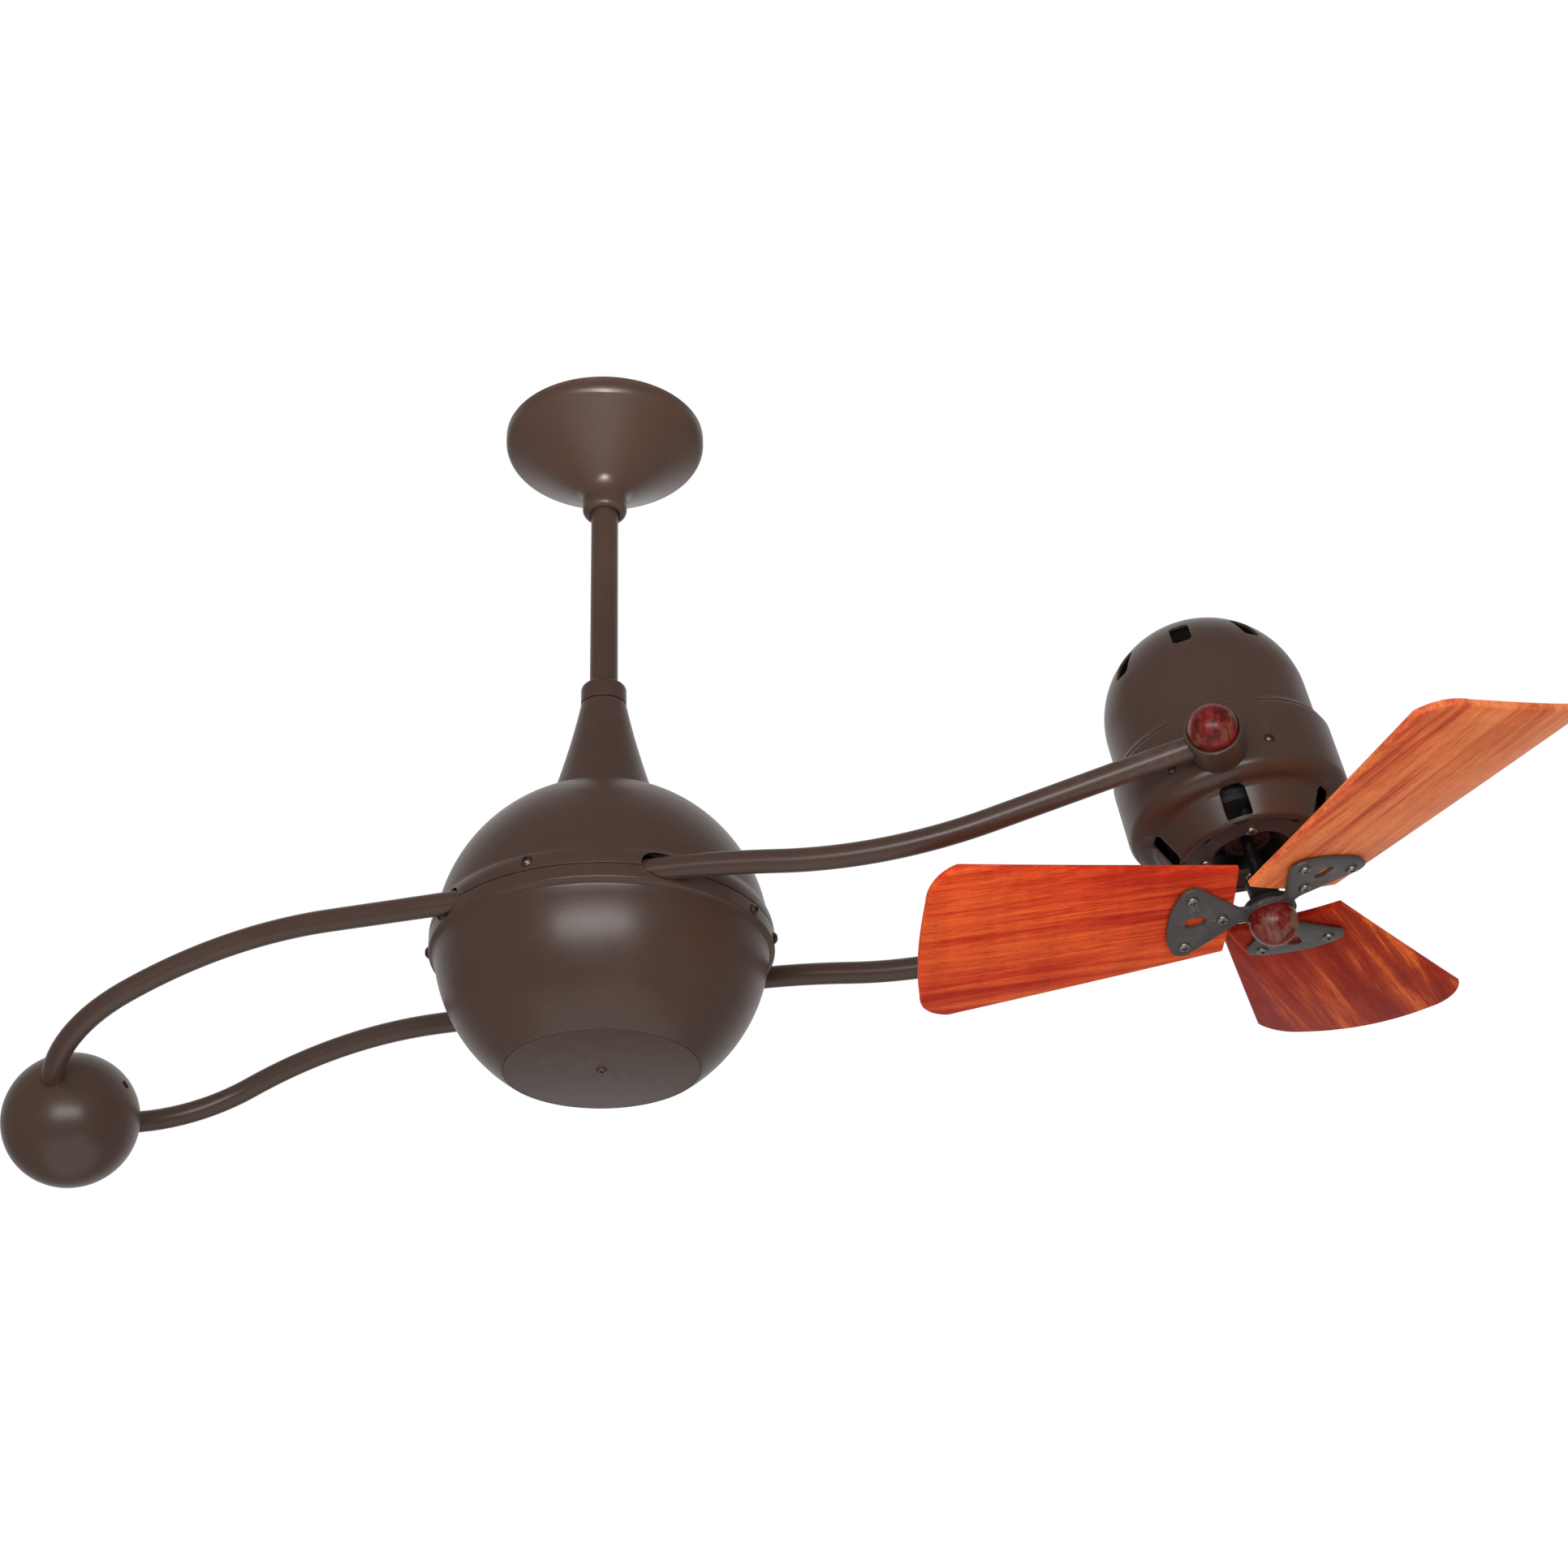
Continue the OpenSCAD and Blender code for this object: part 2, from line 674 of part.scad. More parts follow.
module bearing_bridge() {
    color("lightgray") at_seam() difference() {
        union() {
            translate([0, 0, bridge_h]) difference() {
                cylinder(r = post_x + 8, h = bridge_t);
                around(3, 60) translate([37, 0, -1]) cylinder(r = 12, h = bridge_t + 2);
            }
            translate([0, 0, bridge_h]) cylinder(r = hub_r, h = 11);
        }
        translate([0, 0, upper_bearing_h]) cylinder(r = bearing_r + fit, h = 20);
        translate([0, 0, bridge_h - 1]) cylinder(r = 12.5, h = 20);
        around(3) translate([post_x, 0, bridge_h - 1]) cylinder(r = 2.5 + fit, h = 10);
    }
}

module bridge_screws() {
    color("silver") at_seam() around(3) translate([post_x, 0, bridge_h + bridge_t])
        socket_screw(4.2, 3.5, 2.5, bridge_t);
}

// Deep-groove ball bearing, seen as its two races with shields between them
module ball_bearing(r_out, r_in, w) {
    race = (r_out - r_in) * 0.22;
    rotate_extrude() polygon([[r_in, 0], [r_in + race, 0], [r_in + race, 0.5],
        [r_out - race, 0.5], [r_out - race, 0], [r_out, 0], [r_out, w], [r_out - race, w],
        [r_out - race, w - 0.5], [r_in + race, w - 0.5], [r_in + race, w], [r_in, w]]);
}

module body_bearings() {
    color("silver") at_seam() for (h = [upper_bearing_h, lower_bearing_h])
        translate([0, 0, h]) ball_bearing(bearing_r, spindle_r + run, bearing_w);
}

motor_top = gear_h - 4;
pinion_shaft_r = 3;

module gearmotor() {
    color("dimgray") at_seam() translate([motor_x, 0, floor_top]) difference() {
        union() {
            cylinder(r = 16, h = motor_top - floor_top - 6);
            translate([0, 0, motor_top - floor_top - 6.01]) cylinder(r = 18, h = 4);
            translate([0, 0, motor_top - floor_top - 2.02]) cylinder(r = 6, h = 2.02);
        }
        translate([0, 0, motor_top - floor_top - 8])
            cylinder(r = pinion_shaft_r + run, h = 20);
    }
}

module pinion() {
    color("goldenrod") at_seam() translate([motor_x, 0, gear_h]) {
        rotate([0, 0, 180 / pinion_teeth]) spur_gear(pinion_teeth, gear_w, 0);
        translate([0, 0, motor_top - gear_h - 7])
            cylinder(r = pinion_shaft_r, h = gear_h - motor_top + 7 + tiny);
        translate([0, 0, -1.5]) cylinder(r = 5.5, h = 1.5 + tiny);
    }
}

module brush_block() {
    color("#3a3a3a") at_seam() {
        translate([slip_r + 5, -8, floor_top]) cube([9, 16, 24]);
        for (k = [0:2]) translate([slip_r - 0.8, -2, -7 + k * 6 + 2.9])
            cube([6, 4, 2.2]);
    }
}

// ---------- arm tubes ----------

// Each stretch of tube starts at the origin along +X and puts its children at its far end.
// Neighbouring stretches overlap by lap, with radii that differ by step.
lap = 0.3;
step = 0.05;

module tube_face(r) {
    difference() {
        circle(r = r);
        if (r <= tube_r) circle(r = r - tube_wall);
    }
}

module straight(r, l) {
    translate([-lap, 0, 0]) rotate([0, 90, 0]) linear_extrude(l + lap) tube_face(r);
    translate([l, 0, 0]) children();
}

// Bend of radius bend_r through angle a, towards +Z turned by roll about the tube
module bend(r, bend_r, a, roll) {
    lap_a = lap / bend_r * 180 / PI;
    rotate([roll, 0, 0]) {
        rotate([0, 90, 0]) rotate([90, 0, 0]) translate([-bend_r, 0, 0]) rotate([0, 0, -lap_a])
            rotate_extrude(angle = a + lap_a) translate([bend_r, 0]) tube_face(r);
        translate([bend_r * sin(a), 0, bend_r * (1 - cos(a))]) rotate([0, -a, 0])
            rotate([-roll, 0, 0]) children();
    }
}

toe_r = 600;                            // radius of the slight bend inwards to the head
toe_l = toe_r * sin(toe_a);
bends_x = arm_mid + toe_l + dip_r * sin(dip_a) + lift_r * (sin(dip_a) + sin(lift_a));
bends_h = arm_h - (dip_r + lift_r) * (1 - cos(dip_a)) + lift_r * (1 - cos(lift_a));
last_l = (pivot_x - bends_x) / cos(lift_a);
pivot_h = bends_h + last_l * sin(lift_a);
pivot_y = arm_y - (pivot_x - arm_mid - toe_l / 2) * sin(toe_a);

module front_run(r) {
    s = r - step;
    translate([0, -arm_y, arm_h]) {
        straight(r, arm_mid) bend(s, toe_r, toe_a, -90) bend(r, dip_r, dip_a, 180)
            bend(s, lift_r, dip_a + lift_a, 0) straight(r, last_l);
        mirror([1, 0, 0]) straight(r, arm_mid) bend(s, rise_r, rise_a, 0) straight(r, rise_l)
            bend(s, over_r, rise_a + fall_a, 180) bend(r, sweep_r, sweep_a, -90);
    }
}

module at_pivot() { translate([pivot_x, 0, pivot_h - drop]) children(); }

module front_tube() {
    color("#4e3c34") difference() {
        at_seam() front_run(tube_r);
        at_pivot() translate([0, -pivot_y - 40, 0]) rotate([-90, 0, 0])
            cylinder(r = pivot_r + fit, h = 80);
    }
}

module rear_tube() { mirror([0, 1, 0]) front_tube(); }

// Height of the tubes where they run down to the ball
fall_x = arm_mid + rise_r * sin(rise_a) + rise_l * cos(rise_a)
    + over_r * (sin(rise_a) + sin(fall_a));
fall_h = arm_h + rise_r * (1 - cos(rise_a)) + rise_l * sin(rise_a)
    + over_r * (1 - cos(rise_a)) - over_r * (1 - cos(fall_a));
ball_x = fall_x + sweep_r * sin(sweep_a) * cos(fall_a) - ball_back;
ball_h = fall_h - (ball_x - fall_x) * tan(fall_a) - ball_drop;

module counterweight_ball() {
    color("#4e3c34") at_seam() difference() {
        translate([-ball_x, 0, ball_h]) sphere(r = ball_r, $fn = 96);
        for (s = [0, 1]) mirror([0, s, 0]) front_run(tube_r + 2 * fit);
        translate([-ball_x, 0, ball_h]) rotate([0, 67, -5])
            translate([0, 0, ball_r - 14]) cylinder(r = 3, h = 20);
    }
}

// ---------- tilt joint ----------

pivot_in = cup_r + 3;                   // inner face of each pivot cup
pivot_out = pivot_y + pivot_l / 2;
washer_gap = 0.15;
burl_y = pivot_out + 0.2;               // centre of each wooden ball
cup_floor = burl_y - burl_r - 0.6;      // floor of the bore that holds the ball
bolt_seat = cup_floor - 2.5;            // face under the tilt bolt's head

// Children drawn along +Z, placed on the tilt axis on both sides, pointing outwards
module both_sides() {
    at_pivot() for (s = [-1, 1]) rotate([-90 * s, 0, 0]) children();
}

module pivot_cups() {
    color("#4e3c34") both_sides() difference() {
        rotate_extrude() polygon(concat([[0, pivot_in], [pivot_r - 0.5, pivot_in],
            [pivot_r, pivot_in + 0.5]],
            arc(pivot_r - 0.8, pivot_out - 0.8, 0.8, 0, 90, 4), [[0, pivot_out]]));
        translate([0, 0, cup_floor]) cylinder(r = burl_r + 0.3, h = pivot_l);
        translate([0, 0, bolt_seat]) cylinder(r = tilt_bolt_r + 2.6, h = pivot_l);
        translate([0, 0, pivot_in - 1]) cylinder(r = tilt_bolt_r + run, h = pivot_l);
    }
}

module ball_caps() {
    color("firebrick") both_sides() translate([0, 0, burl_y]) sphere(r = burl_r, $fn = 96);
}

// Frame of the fan head: origin on the tilt axis, -Z along the rotor axis to the blades
module in_head() { at_pivot() rotate([0, -head_tilt, 0]) children(); }

bracket_in = 49;                        // inner end of each pivot boss from the rotor axis
skirt_r = cup_r - cup_wall - 0.3;       // outside of the dome's skirt
skirt_in = skirt_r - cup_wall;

module tilt_bolts() {
    color("silver") both_sides() {
        difference() {
            translate([0, 0, bolt_seat + fit]) cylinder(r = tilt_bolt_r + 2.2, h = 2.2);
            translate([0, 0, bolt_seat + 0.9]) cylinder(r = 2.5, h = 4, $fn = 6);
        }
        translate([0, 0, bracket_in + 1])
            cylinder(r = tilt_bolt_r, h = bolt_seat - bracket_in - 1 + fit + tiny);
    }
}

module head_side_cut(r, h) { for (s = [-1, 1]) rotate([-90 * s, 0, 0]) cylinder(r = r, h = h); }

module friction_washers() {
    color("#151515") in_head() difference() {
        for (s = [-1, 1]) rotate([-90 * s, 0, 0]) translate([0, 0, cup_r - 5])
            ring(pivot_r - 0.6, tilt_bolt_r + 0.3, pivot_in - washer_gap - cup_r + 5);
        translate([0, 0, -40]) cylinder(r = cup_r + fit, h = 80, $fn = 128);
    }
}

// ---------- fan head housing ----------

skirt_low = -8;
head_screw_a = 26;                      // turn of the head screws from the tilt bolts
head_screw_r = 1.8;

module at_head_screws() {
    for (s = [-90, 90]) for (a = [-head_screw_a, head_screw_a])
        rotate([0, 0, s + a]) children();
}

module side_holes() {
    head_side_cut(tilt_bolt_r + 0.3, 90);
    at_head_screws() rotate([0, 90, 0]) cylinder(r = head_screw_r + fit, h = 90);
}

// Prism with rounded corners, w wide and l long, standing on z = 0
module rounded_slot(w, l, r, h) {
    linear_extrude(h) polygon(concat(
        arc(w / 2 - r, l / 2 - r, r, 0, 90, 5), arc(r - w / 2, l / 2 - r, r, 90, 180, 5),
        arc(r - w / 2, r - l / 2, r, 180, 270, 5), arc(w / 2 - r, r - l / 2, r, 270, 360, 5)));
}

dome_vent_rise = 30;                    // angle of the dome vents above the dome's middle
dome_vent_l = 21;

module dome_cover() {
    w = cup_wall;
    fillet = 7;
    foot = cup_top + 0.5;
    color("#4e3c34") in_head() difference() {
        rotate_extrude() polygon(concat(
            arc(0, dome_h, dome_r, 90, 0, 28),
            arc(dome_r + fillet, foot + fillet, fillet, 180, 240, 8),
            [[cup_r - 1.6, foot], [skirt_r, foot], [skirt_r, skirt_low], [skirt_in, skirt_low],
             [skirt_in, foot], [dome_r - w, foot + 6]],
            arc(0, dome_h, dome_r - w, 0, 90, 28)));
        translate([0, 0, dome_h]) around(vents, -90) rotate([0, 90 - dome_vent_rise, 0])
            translate([0, 0, dome_r - 12]) rotate([0, 0, 90])
                rounded_slot(vent_w, dome_vent_l, 3.5, 24);
        side_holes();
    }
}

shoulder_r = 9;                         // rounding of the shoulder below the band
shoulder_h = -10;
neck_top = -24;
valley_r = 5;
neck_turn = -90.4;                      // turn of the first neck vent

module motor_cup() {
    w = cup_wall;
    top = cup_top;
    low = -cup_depth;
    lip_in = rim_r - 5;
    color("#4e3c34") in_head() difference() {
        rotate_extrude() polygon(concat(
            arc(cup_r - 3, top - 3, 3, acos(1 - w / 3), 0, 5),
            arc(cup_r - shoulder_r, shoulder_h, shoulder_r, 0, -82, 9),
            arc(neck_r + valley_r, neck_top, valley_r, 98, 165, 6),
            arc(rim_r - 3, low + 3, 3, -15, -90, 6),
            [[lip_in, low], [lip_in, low + w], [rim_r - 3, low + w]],
            arc(rim_r - 3, low + 3, 3 - w, -90, -15, 4),
            back(arc(neck_r + valley_r, neck_top, valley_r + w, 98, 165, 6)),
            back(arc(cup_r - shoulder_r, shoulder_h, shoulder_r - w, 0, -82, 9)),
            [[cup_r - w, top - 4]]));
        translate([0, 0, (neck_top + low) / 2 + 2.8]) around(neck_vents, neck_turn)
            translate([rim_r - 8, 0, 0]) rotate([0, 90, 0]) rotate([0, 0, 90])
                rounded_slot(neck_vent_w, neck_top - low + 5.6, 4, 25);
        side_holes();
    }
}

bracket_r = skirt_in - 0.2;             // outside of the curved bracket plates

module pivot_brackets() {
    color("silver") in_head() for (s = [0, 180]) rotate([0, 0, s]) difference() {
        union() {
            intersection() {
                translate([0, 0, -7]) ring(bracket_r, bracket_r - 3.5, 14);
                translate([-38, -90, -20]) cube([76, 60, 40]);
            }
            rotate([90, 0, 0]) translate([0, 0, bracket_in])
                cylinder(r = 7, h = bracket_r - bracket_in - 2);
        }
        rotate([90, 0, 0]) cylinder(r = tilt_bolt_r + fit, h = 90);
        for (a = [-90 - head_screw_a, -90 + head_screw_a]) rotate([0, 0, a])
            rotate([0, 90, 0]) cylinder(r = head_screw_r + fit, h = 90);
    }
}

module head_screws() {
    color("#8a7568") in_head() at_head_screws() translate([cup_r, 0, 0])
        rotate([0, 90, 0]) round_screw(3.3, 2, head_screw_r, 8);
}

// ---------- fan motor ----------

plate_low = -cup_depth + cup_wall + 0.1;
plate_t = 2.5;
plate_r = rim_r - 3.3;
plate_in = 23.5;
boss_x = 27.5;                          // circle of the four bosses that hold the end plate
stator_r = 46;
stator_h = 28;
bore_r = 27;                            // bore of the stator
air_gap = 0.4;
bell_h = 20;                            // inner face of each end bell from the middle
bell_t = 4;
shaft_r = 4;
small_bearing_r = 11;
small_bearing_w = 7;
motor_bolt_x = 42;
boss_turn = -82;

module end_plate() {
    color("#5b5552") in_head() difference() {
        translate([0, 0, plate_low]) ring(plate_r, plate_in, plate_t);
        around(4, boss_turn) translate([boss_x, 0, plate_low - 1])
            cylinder(r = 2 + fit, h = plate_t + 2);
        around(4, boss_turn + 45) translate([plate_r - 5.5, 0, plate_low - 1])
            rounded_slot(2.4, 6, 1.1, plate_t + 2);
    }
}

module end_screws() {
    color("silver") in_head() around(4, boss_turn) translate([boss_x, 0, plate_low])
        rotate([180, 0, 0]) round_screw(3.4, 2.2, 2, 8);
}

module end_bell(bosses) {
    housing_l = small_bearing_w + 2;
    difference() {
        union() {
            translate([0, 0, bell_h]) cylinder(r = stator_r, h = bell_t);
            translate([0, 0, bell_h]) cylinder(r = small_bearing_r + 3, h = housing_l);
            translate([0, 0, stator_h / 2 + 0.2])
                ring(stator_r, stator_r - 3.5, bell_h - stator_h / 2);
            if (bosses) around(4, -boss_turn) translate([boss_x, 0, bell_h])
                cylinder(r = 4.5, h = -plate_low - plate_t - bell_h - 0.1);
        }
        translate([0, 0, bell_h + 2]) cylinder(r = small_bearing_r + fit, h = 20);
        translate([0, 0, bell_h - 1]) cylinder(r = 7, h = 20);
        around(4, 45) translate([motor_bolt_x, 0, 0]) cylinder(r = 2 + fit, h = 40);
        around(4, 45 - boss_turn) translate([21, 0, bell_h - 1])
            cylinder(r = 3, h = bell_t + 2);
        if (bosses) around(4, -boss_turn) translate([boss_x, 0, -plate_low - plate_t - 7])
            cylinder(r = 2 + fit, h = 20);
    }
}

module lower_bell() { color("#1c1c1c") in_head() rotate([180, 0, 0]) end_bell(true); }

module upper_bell() { color("#1c1c1c") in_head() end_bell(false); }

slots = 12;
slot_in = bore_r + 2.5;
slot_out = 39;

module stator() {
    color("slategray") in_head() difference() {
        translate([0, 0, -stator_h / 2]) ring(stator_r, bore_r, stator_h);
        around(slots) translate([slot_in, -4, -stator_h]) cube([slot_out - slot_in, 8, 60]);
        around(slots) translate([bore_r - 2, -1.2, -stator_h]) cube([6, 2.4, 60]);
        around(4, 45) translate([motor_bolt_x, 0, -40]) cylinder(r = 2 + fit, h = 80);
    }
}

module windings() {
    turn_h = bell_h - stator_h / 2 - 1;
    color("peru") in_head() {
        around(slots) translate([slot_in + 0.5, -3.5, -stator_h / 2 - 1])
            cube([slot_out - slot_in - 1, 7, stator_h + 2]);
        for (s = [0, 1]) mirror([0, 0, s]) translate([0, 0, stator_h / 2 + 0.3])
            ring(slot_out - 0.5, slot_in + 0.5, turn_h);
    }
}

module motor_bolts() {
    color("silver") in_head() around(4, 45) translate([motor_bolt_x, 0, bell_h + bell_t])
        socket_screw(3.4, 3.2, 2, 2 * (bell_h + bell_t) - 0.5);
}

module rotor_bearings() {
    color("silver") in_head() for (s = [0, 1]) mirror([0, 0, s])
        translate([0, 0, bell_h + 2]) ball_bearing(small_bearing_r, shaft_r + run,
            small_bearing_w);
}

module rotor() {
    color("gray") in_head() translate([0, 0, -stator_h / 2]) {
        ring(bore_r - air_gap, shaft_r + fit, stator_h);
        for (z = [-3, stator_h - tiny]) translate([0, 0, z]) ring(bore_r - 3, 14, 3 + tiny);
    }
}

// ---------- fan rotor ----------

hub_top = blade_depth - 20;             // top of the hub's neck below the tilt axis
tab_low = blade_depth + iron_t;         // lower face of the irons' tabs
tab_r = 15.6;
flange_r = tab_r - 1.1;                 // flange of the hub, clear of the pitched irons
shaft_low = tab_low + 4;

module motor_shaft() {
    color("silver") in_head() translate([0, 0, -shaft_low])
        cylinder(r = shaft_r, h = shaft_low + bell_h + small_bearing_w + 4);
}

module blade_hub() {
    color("#2b2624") in_head() difference() {
        rotate_extrude() polygon([[shaft_r + fit, -blade_depth + 0.1],
            [flange_r, -blade_depth + 0.1], [flange_r, -blade_depth + 4],
            [flange_r - 1, -blade_depth + 5],
            [10, -blade_depth + 6.5], [9, -blade_depth + 9], [9, -hub_top],
            [shaft_r + fit, -hub_top]]);
        translate([0, 0, -blade_depth + 14]) rotate([90, 0, 0]) cylinder(r = 2, h = 20);
        finial_space();
    }
}

module finial_cup() {
    color("#4e3c34") in_head() difference() {
        translate([0, 0, -tab_low - 0.1 - cup_t]) cylinder(r = flange_r, h = cup_t);
        finial_space();
    }
}

cup_t = 1.2;
finial_z = -tab_low - 6.3;

// Hollow that the ball sits in: in the hub, the irons' tabs and the cup
module finial_space() {
    translate([0, 0, finial_z]) sphere(r = finial_r + 0.2, $fn = 96);
}

module finial() {
    bore = shaft_r + 0.4;
    color("firebrick") in_head() difference() {
        translate([0, 0, finial_z]) sphere(r = finial_r, $fn = 96);
        translate([0, 0, -shaft_low - 0.5]) cylinder(r = bore, h = 20);
    }
}

// Frame of one blade: +X out along the blade, -Z through its lower face at z = 0
module on_blade(k) {
    in_head() translate([0, 0, -blade_depth]) rotate([0, 0, blade_turn + 360 * k / blades])
        rotate([pitch, 0, 0]) children();
}

iron_x = [[29.5, 0], [50, 20.5], [50, -20.5]];  // blade screws on the iron

module blade_screw_holes(r) {
    for (p = iron_x) translate([p[0], p[1], -20]) cylinder(r = r, h = 40);
}

// Bow of the tip edge at distance y from the blade's middle
function tip_at(y) = tip_x - tip_bow * pow(2 * y / tip_w, 2);

module blade(k) {
    c = tip_w / 2 - tip_round;
    x0 = tip_at(c) - tip_round;
    color("#c8501c") on_blade(k) difference() {
        intersection() {
            translate([0, 0, camber_r]) rotate([0, 90, 0])
                ring(camber_r, camber_r - blade_t, tip_x + 5, $fn = 240);
            translate([0, 0, -1]) linear_extrude(camber_r / 4) polygon(concat(
                [[root_x, root_w / 2], [root_x, -root_w / 2]],
                arc(x0, -c, tip_round, -75, 0, 6),
                [for (i = [-4:4]) [tip_at(c * i / 5), c * i / 5]],
                arc(x0, c, tip_round, 0, 75, 6)));
        }
        blade_screw_holes(2 + fit);
    }
}

module blade_1() { blade(0); }

module blade_2() { blade(1); }

module blade_3() { blade(2); }

// Blade iron: a rounded triangle under the blade, with a tab on the hub
module iron_plate() {
    corner = 8;
    outer = iron_x[1];
    reach = 62.5;
    bulge = 70;
    swing = asin((outer[1] + 2) / bulge);
    neck = 6.5;
    lean = 25;
    difference() {
        translate([0, 0, -iron_t]) linear_extrude(iron_t - 0.05) polygon(concat(
            [[tab_r - 5, neck], [tab_r - 5, -neck], [tab_r + 4, -neck]],
            arc(outer[0], -outer[1] - 1.5, corner, -90 - lean, -10, 6),
            arc(reach - bulge, 0, bulge, -swing * 0.9, swing * 0.9, 8),
            arc(outer[0], outer[1] + 1.5, corner, 10, 90 + lean, 6),
            [[tab_r + 4, neck]]));
        blade_screw_holes(2 + fit);
        translate([46 - 2, 0, -20]) cylinder(r = 4.5, h = 40);
        translate([46 + 2, 0, -20]) cylinder(r = 4.5, h = 40);
        translate([44, -4.5, -20]) cube([4, 9, 40]);
    }
}

module blade_irons() {
    color("#4b4646") for (k = [0:blades - 1]) {
        on_blade(k) difference() {
            iron_plate();
            rotate([-pitch, 0, 0]) translate([0, 0, -20]) cylinder(r = tab_r - 1, h = 40);
        }
        in_head() rotate([0, 0, blade_turn + 360 * k / blades]) difference() {
            intersection() {
                translate([0, 0, -tab_low]) cylinder(r = tab_r, h = iron_t);
                linear_extrude(400, center = true)
                    polygon([[0.3, 0], [40, 66], [40, -66]]);
            }
            finial_space();
        }
    }
}

module blade_screws() {
    color("silver") for (k = [0:blades - 1]) on_blade(k) for (p = iron_x)
        translate([p[0], p[1], -iron_t]) rotate([180, 0, 0])
            round_screw(3.6, 2, 2, iron_t + blade_t - 0.5);
}

ceiling_bracket();
hanger_bolt();
hanger_nut();
canopy();
ring_nut();
downrod();
rod_collar();
collar_screw();
spindle();
spindle_pin();
spindle_nut();
sun_gear();
slip_ring();
cone();
cone_bush();
upper_shell();
lower_shell();
bottom_cap();
cap_bar();
cap_screw();
band_screws();
carrier();
tube_clamps();
clamp_screws();
bridge_posts();
bearing_bridge();
bridge_screws();
body_bearings();
gearmotor();
pinion();
brush_block();
front_tube();
rear_tube();
counterweight_ball();
pivot_cups();
ball_caps();
dome_cover();
motor_cup();
pivot_brackets();
tilt_bolts();
friction_washers();
head_screws();
end_plate();
end_screws();
lower_bell();
upper_bell();
stator();
windings();
motor_bolts();
rotor_bearings();
rotor();
motor_shaft();
blade_hub();
finial_cup();
finial();
blade_irons();
blade_screws();
blade_1();
blade_2();
blade_3();
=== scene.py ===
import math

import bmesh
import bpy
from mathutils import Matrix, Vector


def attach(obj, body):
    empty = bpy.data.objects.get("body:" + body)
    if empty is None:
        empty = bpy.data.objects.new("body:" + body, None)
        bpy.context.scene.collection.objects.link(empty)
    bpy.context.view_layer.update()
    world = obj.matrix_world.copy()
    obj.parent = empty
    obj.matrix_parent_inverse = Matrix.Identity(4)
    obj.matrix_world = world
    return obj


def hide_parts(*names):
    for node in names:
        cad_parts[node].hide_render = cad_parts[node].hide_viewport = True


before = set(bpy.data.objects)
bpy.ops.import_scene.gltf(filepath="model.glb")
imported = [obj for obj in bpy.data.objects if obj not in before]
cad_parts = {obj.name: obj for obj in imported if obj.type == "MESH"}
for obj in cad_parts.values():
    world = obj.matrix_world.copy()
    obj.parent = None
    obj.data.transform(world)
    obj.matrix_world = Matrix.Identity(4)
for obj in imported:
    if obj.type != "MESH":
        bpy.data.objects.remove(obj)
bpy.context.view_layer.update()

bl_info = {
    "name": "Orbiting ceiling fan",
    "version": (1, 0, 0),
    "blender": (4, 5, 0),
    "location": "View3D > Sidebar > Fan",
    "description": "Dresses the packed ceiling fan with finished surfaces",
    "category": "Object",
}

MM = 0.001
SEAM = Matrix.Translation((0, 0, -407 * MM))


def turned(angle, axis):
    """Rotation matrix of an angle in degrees about X, Y or Z."""
    return Matrix.Rotation(math.radians(angle), 4, axis)


def moved(x, y, z):
    """Translation matrix of a move in millimetres."""
    return Matrix.Translation((x * MM, y * MM, z * MM))


# ---------------------------------------------------------------- sizes and colours

def length(name, text, value):
    """Property of a length in metres."""
    return bpy.props.FloatProperty(
        name=name, description=text, default=value, min=0, subtype="DISTANCE", unit="LENGTH")


def colour(name, text, value):
    """Property of a linear colour."""
    return bpy.props.FloatVectorProperty(
        name=name, description=text, default=value, size=3, min=0, max=1, subtype="COLOR")


class FanSizes(bpy.types.PropertyGroup):
    canopy_r: length("Canopy radius", "Radius of the canopy's rim", 0.071)
    rod_r: length("Rod radius", "Outer radius of the downrod", 0.0095)
    body_r: length("Body radius", "Outer radius of the round body", 0.107)
    band_r: length("Band radius", "Outer radius of the band round the body", 0.110)
    tube_r: length("Tube radius", "Outer radius of the arm tubes", 0.0072)
    ball_r: length("Ball radius", "Radius of the counterweight ball", 0.0446)
    dome_r: length("Dome radius", "Radius of the fan head's dome", 0.0625)
    cup_r: length("Cup radius", "Radius of the fan head's band", 0.0675)
    blade_length: length("Blade reach", "Rotor axis to blade tip", 0.210)
    blade_t: length("Blade thickness", "Thickness of the blades", 0.005)


class FanColours(bpy.types.PropertyGroup):
    bronze: colour("Bronze paint", "Satin paint of the metalwork", (0.062, 0.031, 0.020))
    fastener: colour("Screw finish", "Plated screws of the blades", (0.42, 0.39, 0.37))
    bronze_screw: colour("Bronze screws", "Bronzed screws of the housings", (0.20, 0.145, 0.12))
    wood_dark: colour("Wood, dark", "Dark streaks of the blades", (0.50, 0.026, 0.010))
    wood_mid: colour("Wood, middle", "Main tone of the blades", (0.72, 0.070, 0.018))
    wood_light: colour("Wood, light", "Light streaks of the blades", (0.88, 0.150, 0.032))
    burl_red: colour("Burl, red", "Red ground of the wooden balls", (0.22, 0.012, 0.009))
    burl_tan: colour("Burl, tan", "Tan patches of the wooden balls", (0.17, 0.06, 0.035))
    iron: colour("Iron paint", "Paint of the blade irons", (0.062, 0.050, 0.047))
    black: colour("Motor black", "Paint of the motor", (0.010, 0.010, 0.010))
    grey: colour("Plate grey", "Paint of the motor's end plate", (0.058, 0.040, 0.033))


